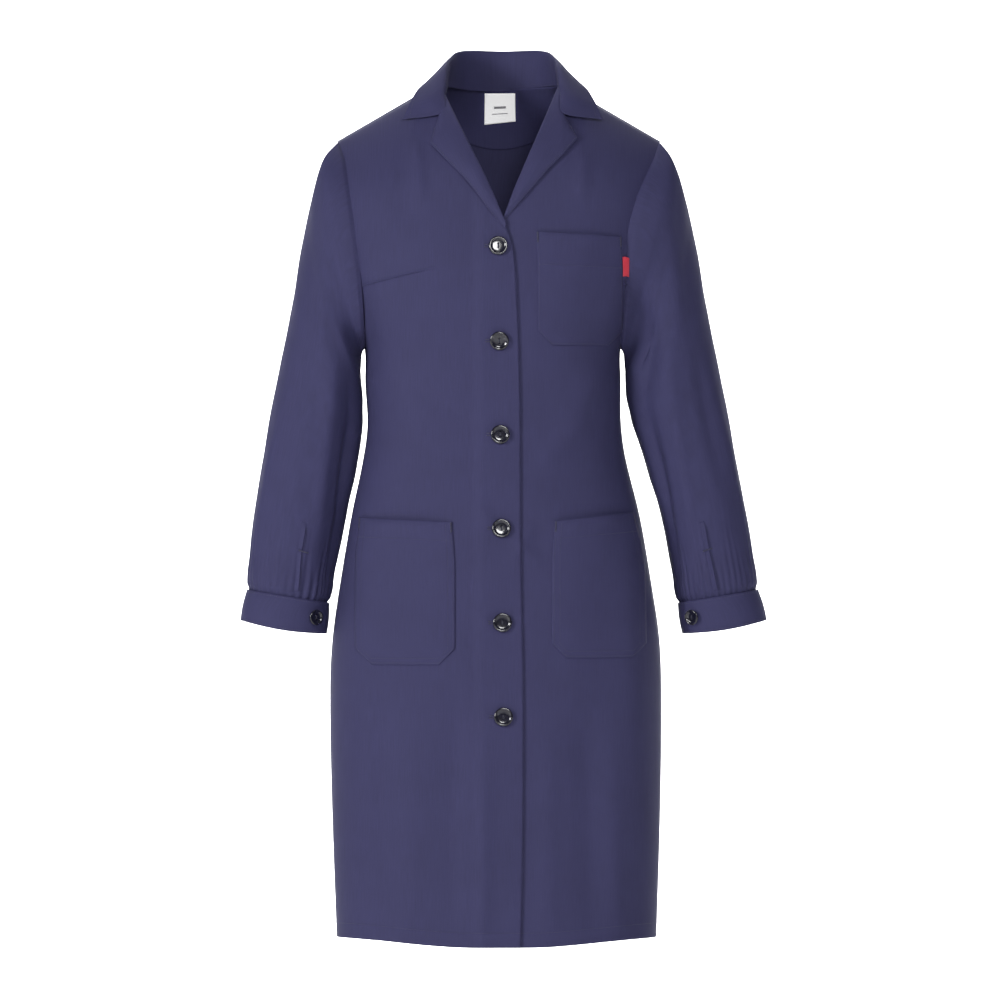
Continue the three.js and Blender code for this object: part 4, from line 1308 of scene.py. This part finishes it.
# %% Hem rows
HEM_STITCH, HEM_PITCH = 0.017, 0.0030
ABOVE_HEM_Z = -0.98  # where the free edge and the back's width are measured for a row
BACK_ROW_Z, SEAM_OVERLAP = -0.985, 0.2  # height of the back row's ends, and radians kept clear
LINE = np.linspace(0, 1, 400)
for name, field in FRONTS:
    side = ARMS[name]["side"]
    outer, free = seam_x(HEM_Z + HEM_STITCH, side), inner_x(np.array(ABOVE_HEM_Z), name)
    x = mix(outer - side * 0.003, free + side * 0.001, LINE)
    z = hem_z(x) + HEM_STITCH
    lift = lap_lift(x) if name == "right" else FRONT_LIFT
    line = (front_at(x, z, lift + STITCH_RISE), front_normal(x, z))
    stitch_row(f"{name}_hem_stitches", line, field, HEM_PITCH)

ends = [seam_turn(BACK_ROW_Z, side) + side * SEAM_OVERLAP for side in (1, -1)]
turn = mix(ends[0], ends[1], LINE)
z = hem_z(form(turn, np.full(LINE.shape, ABOVE_HEM_Z))[..., 0]) + HEM_STITCH
line = (back_at(turn, z, STITCH_RISE), form_normal(turn, z))
stitch_row("back_hem_stitches", line, "body", HEM_PITCH)

# %% [markdown]
# ### Pocket stitching
# Each pocket has a row under its mouth, one or two round its sewn edges, and a bar tack at both
# ends of the mouth, where a pocket tears first. A bar tack is a dense zigzag, drawn as threads side
# by side.


# %% Pocket rows
TACK_PITCH, TACK_RADIUS, POCKET_TACK, TACK_LENGTH = 0.00042, 0.00024, 0.0022, 0.012
EDGE_IN, SECOND_ROW = 0.0022, 0.0055


def bar_tack(name, surface, u, v, width, rides):
    """Dense threads across a line on a surface, side by side."""
    line, ups = surface_line(surface, u, v, STITCH_RISE + 0.0006, -1)
    middles, along, share = spaced(line, TACK_PITCH)
    n = ups_at(share, ups)
    tack = capsules(name, middles, np.cross(along, n), n, width, TACK_RADIUS, THREAD)
    wear(tack, rides, "thread")


for name, shape in POCKETS.items():
    surface = lambda u, v, lift=0.0, shape=shape: pocket_at(shape, u, v, lift)
    height = abs(shape["foot"] - shape["top"][1])
    width = shape["top"][2] - shape["top"][0]
    rise = POCKET_CLOTH / 2 + 0.0002
    hem_v = shape["hem"] / height + 0 * LINE
    line = surface_line(surface, mix(0.01, 0.99, LINE), hem_v, rise, -1)
    stitch_row(f"{name}_hem_stitches", line, shape["field"])
    insets = (EDGE_IN, EDGE_IN + SECOND_ROW) if "lower" in name else (EDGE_IN,)
    for number, inset in enumerate(insets, 1):
        du, dv = inset / width, inset / height
        down = np.linspace(0.02, 1 - dv, 200)
        over = np.linspace(du, 1 - du, 160)
        u = np.concatenate([0 * down + du, over, 0 * down + 1 - du])
        v = np.concatenate([down, 0 * over + 1 - dv, down[::-1]])
        line = surface_line(surface, u, v, rise, -1)
        stitch_row(f"{name}_edge_stitches_{number}", line, shape["field"])
    for end, u in (("inner", 0.985), ("outer", 0.015)):
        v = np.linspace(0.0, TACK_LENGTH / height, 40) + 0.004
        bar_tack(f"{name}_{end}_bar_tack", surface, v * 0 + u, v, POCKET_TACK, shape["field"])

# %% [markdown]
# ### Edges of collar and lapels, cuffs and plackets
# A row runs close to each free edge. On the sleeve a narrow fold draws the slit's open edge, and a
# bar tack pinches it where the placket is sewn down.

# %% Rows on collar, lapels and sleeve ends
LAPEL_ROW_U, COLLAR_ROW_V = 0.955, 0.945  # how far out each row runs, as a share of the cloth
CUFF_ROWS, CUFF_ROW_RISE = (("top", 0.06), ("bottom", 0.94)), 0.0009
SLIT_TOP_V, SLIT_FOOT_V, TACK_V = 0.838, 0.984, 0.900
SLEEVE_TACK, FOLD_CLOTH = 0.0020, 0.0005
for name, field in FRONTS:
    surface = lambda u, v, lift=0.0, name=name: lapel_at(name, u, v, lift)
    u, v = 0 * LINE + LAPEL_ROW_U, mix(0.16, 0.93, LINE)
    line = surface_line(surface, u, v, STITCH_RISE + 0.0003, -ARMS[name]["side"])
    stitch_row(f"{name}_lapel_stitches", line, field)

u, v = mix(0.012, 0.988, LINE), 0 * LINE + COLLAR_ROW_V
stitch_row("collar_stitches", surface_line(collar_at, u, v, COLLAR_LAYER + 0.0005, 1), "body")

for name in ("right", "left"):
    side = ARMS[name]["side"]
    surface = lambda u, v, lift=0.0, name=name: cuff_at(name, u, v, lift)
    for row, v in CUFF_ROWS:
        u = mix(0.004, 0.996, LINE)
        line = surface_line(surface, u, v + 0 * LINE, CUFF_ROW_RISE, side)
        stitch_row(f"{name}_cuff_{row}_stitches", line, f"{name}_arm")
    slit = PLACKET_TURNS[name]
    u = np.linspace(slit - 0.024, slit + 0.012, 40)
    tack = lambda u, v, lift=0.0, name=name: sleeve_at(name, u, v, lift + 0.0004)
    bar_tack(f"{name}_placket_bar_tack", tack, u, np.full(40, TACK_V), SLEEVE_TACK, f"{name}_arm")
    t, w = shares_down(120), shares_across(7)
    v = mix(SLIT_TOP_V, SLIT_FOOT_V, t) + 0 * w
    u = slit - side * (0.020 * (1 - w) - 0.006 * ease((t - 0.4) / 0.6))
    pinch = 1 - 0.7 * np.exp(-(((v - TACK_V) / 0.006) ** 2))
    lift = CLOTH / 2 + mix(-0.0005, 0.0026, w**1.6) * ease(t / 0.15) * pinch - 0.0001
    grain = (0.4 * u, SLEEVE_LENGTH * v)
    points = sleeve_at(name, u, v, lift)
    wear(cloth(f"{name}_slit_edge", points, FOLD_CLOTH, TWILL, -1, grain), f"{name}_arm", "twill")

# %% [markdown]
# ### Bust dart
# A dart is a tuck sewn to a point, which shapes the chest. From outside it is a fine line with the
# upper cloth folded over the lower. It is drawn as a narrow fold whose lower edge stands off.

# %% Dart
DART_WIDTH, DART_BOW = 0.0030, 0.0012
t, w = shares_across(90), shares_down(7)
for name, field, start, end in (
    ("right", RIGHT_FRONT, (-0.164, -0.2335), (-0.075, -0.2125)),
    ("left", LEFT_FRONT, (0.158, -0.2335), (0.141, -0.2295)),
):
    x = mix(start[0], end[0], t) + 0 * w
    z = mix(start[1], end[1], t) + DART_BOW * np.sin(np.pi * t) + DART_WIDTH * (1 - w)
    rise = mix(-0.0004, 0.0012, w**1.5) * ease(t / 0.04) * ease((1 - t) / 0.25)
    points = front_at(x, z, CLOTH / 2 + rise - 0.0001)
    wear(cloth(f"{name}_bust_dart", points, FOLD_CLOTH, TWILL, -1), field, "twill")

# %% [markdown]
# ## Buttons
# The buttons are turned discs with a rolled rim, a dished middle and two holes one above the
# other. The disc is a profile spun round its axis, and the holes are cut with a boolean.

# %% Buttons
BUTTON_R, CUFF_BUTTON_R = 0.011, 0.009
BUTTON_THICK = 0.0036
HOLE_R, HOLE_SPACING = 0.0012, 0.0048
BUTTON_RISE, CUFF_BUTTON_RISE = LAP_LIFT + 0.0022, 0.0024
SHANK, CUFF_SHANK = 0.0024, 0.0016
STRAND_RADIUS, POST_GAP = 0.00034, 0.0004
CUFF_BUTTON_TURN, CUFF_MIDDLE = 0.96, 0.5
SPIN, HOLE_SPIN = 72, 20
WELD_DISTANCE, SHARP_ANGLE = 1e-5, math.radians(38)
DISH_SHARE = 0.62  # height of the dish as a share of the button's
# Radius and height of each ring, as shares of the button's own, and the same for a hole's cutter.
BUTTON_PROFILE = [
    [1e-6, 0.0], [0.70, 0.0], [0.84, 0.12], [0.94, 0.35], [0.99, 0.58], [1.00, 0.70],
    [0.985, 0.82], [0.95, 0.93], [0.90, 0.99], [0.85, 1.00], [0.80, 0.97], [0.75, 0.89],
    [0.70, 0.78], [0.64, 0.69], [0.56, 0.645], [0.30, 0.625], [1e-6, DISH_SHARE],
]
HOLE_PROFILE = [[1e-6, -1.0], [1.0, -1.0], [1.0, 2.0], [1e-6, 2.0]]


def spun(name, profile, radius, y, sides):
    """Profile of radius and height, spun round an upright line at y: (r cos a, y + r sin a, h)."""
    profile = np.array(profile)
    r, h = profile[:, :1] * radius, profile[:, 1:] * BUTTON_THICK
    angle = np.arange(sides)[None, :] * 2 * np.pi / sides
    points = np.stack([r * np.cos(angle), y + r * np.sin(angle), h + 0 * angle], axis=-1)
    faces = grid_faces(len(profile), sides, True, False)
    made = new_object(name, points.reshape(-1, 3), faces, POLYESTER)
    made.modifiers.new("weld", "WELD").merge_threshold = WELD_DISTANCE
    return made


def button_mesh(radius):
    """A spun disc with its two holes cut by booleans, as a mesh of its own."""
    disc = spun("disc", BUTTON_PROFILE, radius, 0.0, SPIN)
    cutters = []
    for y in (-HOLE_SPACING / 2, HOLE_SPACING / 2):
        cutter = spun("cutter", HOLE_PROFILE, HOLE_R, y, HOLE_SPIN)
        cut = disc.modifiers.new("hole", "BOOLEAN")
        cut.object, cut.operation, cut.solver = cutter, "DIFFERENCE", "EXACT"
        cutters.append(cutter)
    bpy.context.view_layer.update()
    graph = bpy.context.evaluated_depsgraph_get()
    mesh = bpy.data.meshes.new_from_object(disc.evaluated_get(graph))
    for spare in [disc, *cutters]:
        bpy.data.objects.remove(spare)
    mesh.polygons.foreach_set("use_smooth", np.ones(len(mesh.polygons), dtype=bool))
    mesh.set_sharp_from_angle(angle=SHARP_ANGLE)
    print(f"button of {radius * 2000:.0f} mm: {len(mesh.polygons)} faces")
    return mesh


def stand_on(point, normal):
    """Matrix whose z is the normal and whose y is up along the cloth."""
    across = unit(np.cross([0.0, 0.0, 1.0], normal))
    turned = np.eye(4)
    turned[:3, 0], turned[:3, 1], turned[:3, 2] = across, np.cross(normal, across), normal
    turned[:3, 3] = point
    return turned


def place_button(name, mesh, frame_matrix, rides, nodes):
    """Copy of a button mesh, with its points moved into place."""
    copy = mesh.copy()
    points = np.empty(len(copy.vertices) * 3)
    copy.vertices.foreach_get("co", points)
    points = points.reshape(-1, 3) @ frame_matrix[:3, :3].T + frame_matrix[:3, 3]
    copy.vertices.foreach_set("co", points.ravel())
    copy.update()
    made = bpy.data.objects.new(name, copy)
    bpy.context.scene.collection.objects.link(made)
    wear(made, rides, "button", nodes)


def sewing(name, frame_matrix, shank, rides, nodes):
    """Four strands between the two holes, and two down each hole to the cloth."""
    x = np.array([-0.0006, -0.0002, 0.0002, 0.0006])
    dish = BUTTON_THICK * DISH_SHARE + 0.0003
    strands = np.stack([x, 0 * x, dish + np.array([0.0, 0.0002, 0.0001, 0.0])], axis=1)
    lean = np.array([[0.05, 1, 0], [-0.03, 1, 0], [0.02, 1, 0], [-0.06, 1, 0]])
    posts = np.array([[a, b, 0.0] for b in (-1, 1) for a in (-POST_GAP, POST_GAP)])
    posts[:, 1] *= HOLE_SPACING / 2
    posts[:, 2] = (dish - shank) / 2
    middles = np.concatenate([strands, posts])
    along = np.concatenate([lean, np.tile([0.0, 0.0, 1.0], (4, 1))])
    up = np.concatenate([np.tile([0.0, 0.0, 1.0], (4, 1)), np.tile([1.0, 0.0, 0.0], (4, 1))])
    size = np.concatenate([np.full(4, HOLE_SPACING * 1.02), np.full(4, dish + shank)])
    turn, shift = frame_matrix[:3, :3], frame_matrix[:3, 3]
    middles, along, up = middles @ turn.T + shift, along @ turn.T, up @ turn.T
    made = capsules(name, middles, along, up, size, STRAND_RADIUS, BUTTON_THREAD)
    wear(made, rides, "thread", nodes)


big_button = button_mesh(BUTTON_R)
small_button = button_mesh(CUFF_BUTTON_R)
for i in range(BUTTON_COUNT):
    at_x, at_z = np.array(button_x[i]), np.array(button_z[i])
    normal = front_normal(at_x, at_z)
    spot = stand_on(front_at(at_x, at_z, BUTTON_RISE), normal)
    place_button(f"button_{i + 1}", big_button, spot, LEFT_FRONT, [f"button_{i + 1}"])
    sewing(f"button_{i + 1}_thread", spot, SHANK, LEFT_FRONT, [f"button_{i + 1}_thread"])

for name in ("right", "left"):
    surface = lambda u, v, lift=0.0, name=name: cuff_at(name, u, v, lift)
    u, v = np.array(CUFF_BUTTON_TURN), np.array(CUFF_MIDDLE)
    normal = surface_normal(lambda a, b: surface(a, b, 0.0), u, v, 1)
    normal = normal * (-1 if normal[1] > 0 else 1)
    spot = stand_on(surface(u, v) + normal * CUFF_BUTTON_RISE, normal)
    place_button(f"{name}_cuff_button", small_button, spot, f"{name}_arm", [f"{name}_cuff_button"])
    thread_nodes = [f"{name}_cuff_button_thread"]
    sewing(f"{name}_cuff_button_thread", spot, CUFF_SHANK, f"{name}_arm", thread_nodes)

# %% [markdown]
# ## Buttonholes
# A buttonhole is a slit whose lips are wrapped in tight thread. It is a little longer than the
# button, which pulls to its outer end, so a few millimetres of it show beside each button.

# %% Buttonholes
HOLE_HALF, HOLE_OFFSET, LIP_OFFSET = 0.0135, 0.0025, 0.0013
LIP_THREADS, LIP_LENGTH, LIP_RADIUS = 54, 0.0021, 0.00030
t = np.tile(np.linspace(-1, 1, LIP_THREADS), 2)
lip = np.repeat([-LIP_OFFSET, LIP_OFFSET], LIP_THREADS)
along = np.tile([0.0, 0.0, 1.0], (2 * LIP_THREADS, 1))
for i in range(BUTTON_COUNT):
    x, z = button_x[i] - HOLE_OFFSET + HOLE_HALF * t, button_z[i] + lip
    middles, ups = front_at(x, z, lap_lift(x) + STITCH_RISE), front_normal(x, z)
    lips = capsules(f"buttonhole_{i + 1}", middles, along, ups, LIP_LENGTH, LIP_RADIUS, THREAD)
    wear(lips, RIGHT_FRONT, "thread")

# %% [markdown]
# ## Paper sweep
# The sweep is one strip, a floor that curves up into a wall far behind the coat. It is staging.

# %% Sweep
FLOOR_Z = -1.42
SWEEP_HALF, SWEEP_FRONT, SWEEP_WALL, SWEEP_TOP = 40.0, -26.0, 26.0, 34.0
SWEEP_BEND = 7.0
sweep_bend = np.linspace(0, np.pi / 2, 48)
sweep_y = np.concatenate(
    [[SWEEP_FRONT], SWEEP_WALL - SWEEP_BEND * (1 - np.sin(sweep_bend)), [SWEEP_WALL]]
)
sweep_z = np.concatenate([[FLOOR_Z], FLOOR_Z + SWEEP_BEND * (1 - np.cos(sweep_bend)), [SWEEP_TOP]])
sweep_x = np.array([[-SWEEP_HALF, SWEEP_HALF]])
sweep_points = np.stack(together(sweep_x, sweep_y[:, None], sweep_z[:, None]), axis=-1)
sweep_faces = grid_faces(len(sweep_y), 2, False, False)
sweep = new_object("sweep", sweep_points.reshape(-1, 3), sweep_faces, PAPER)
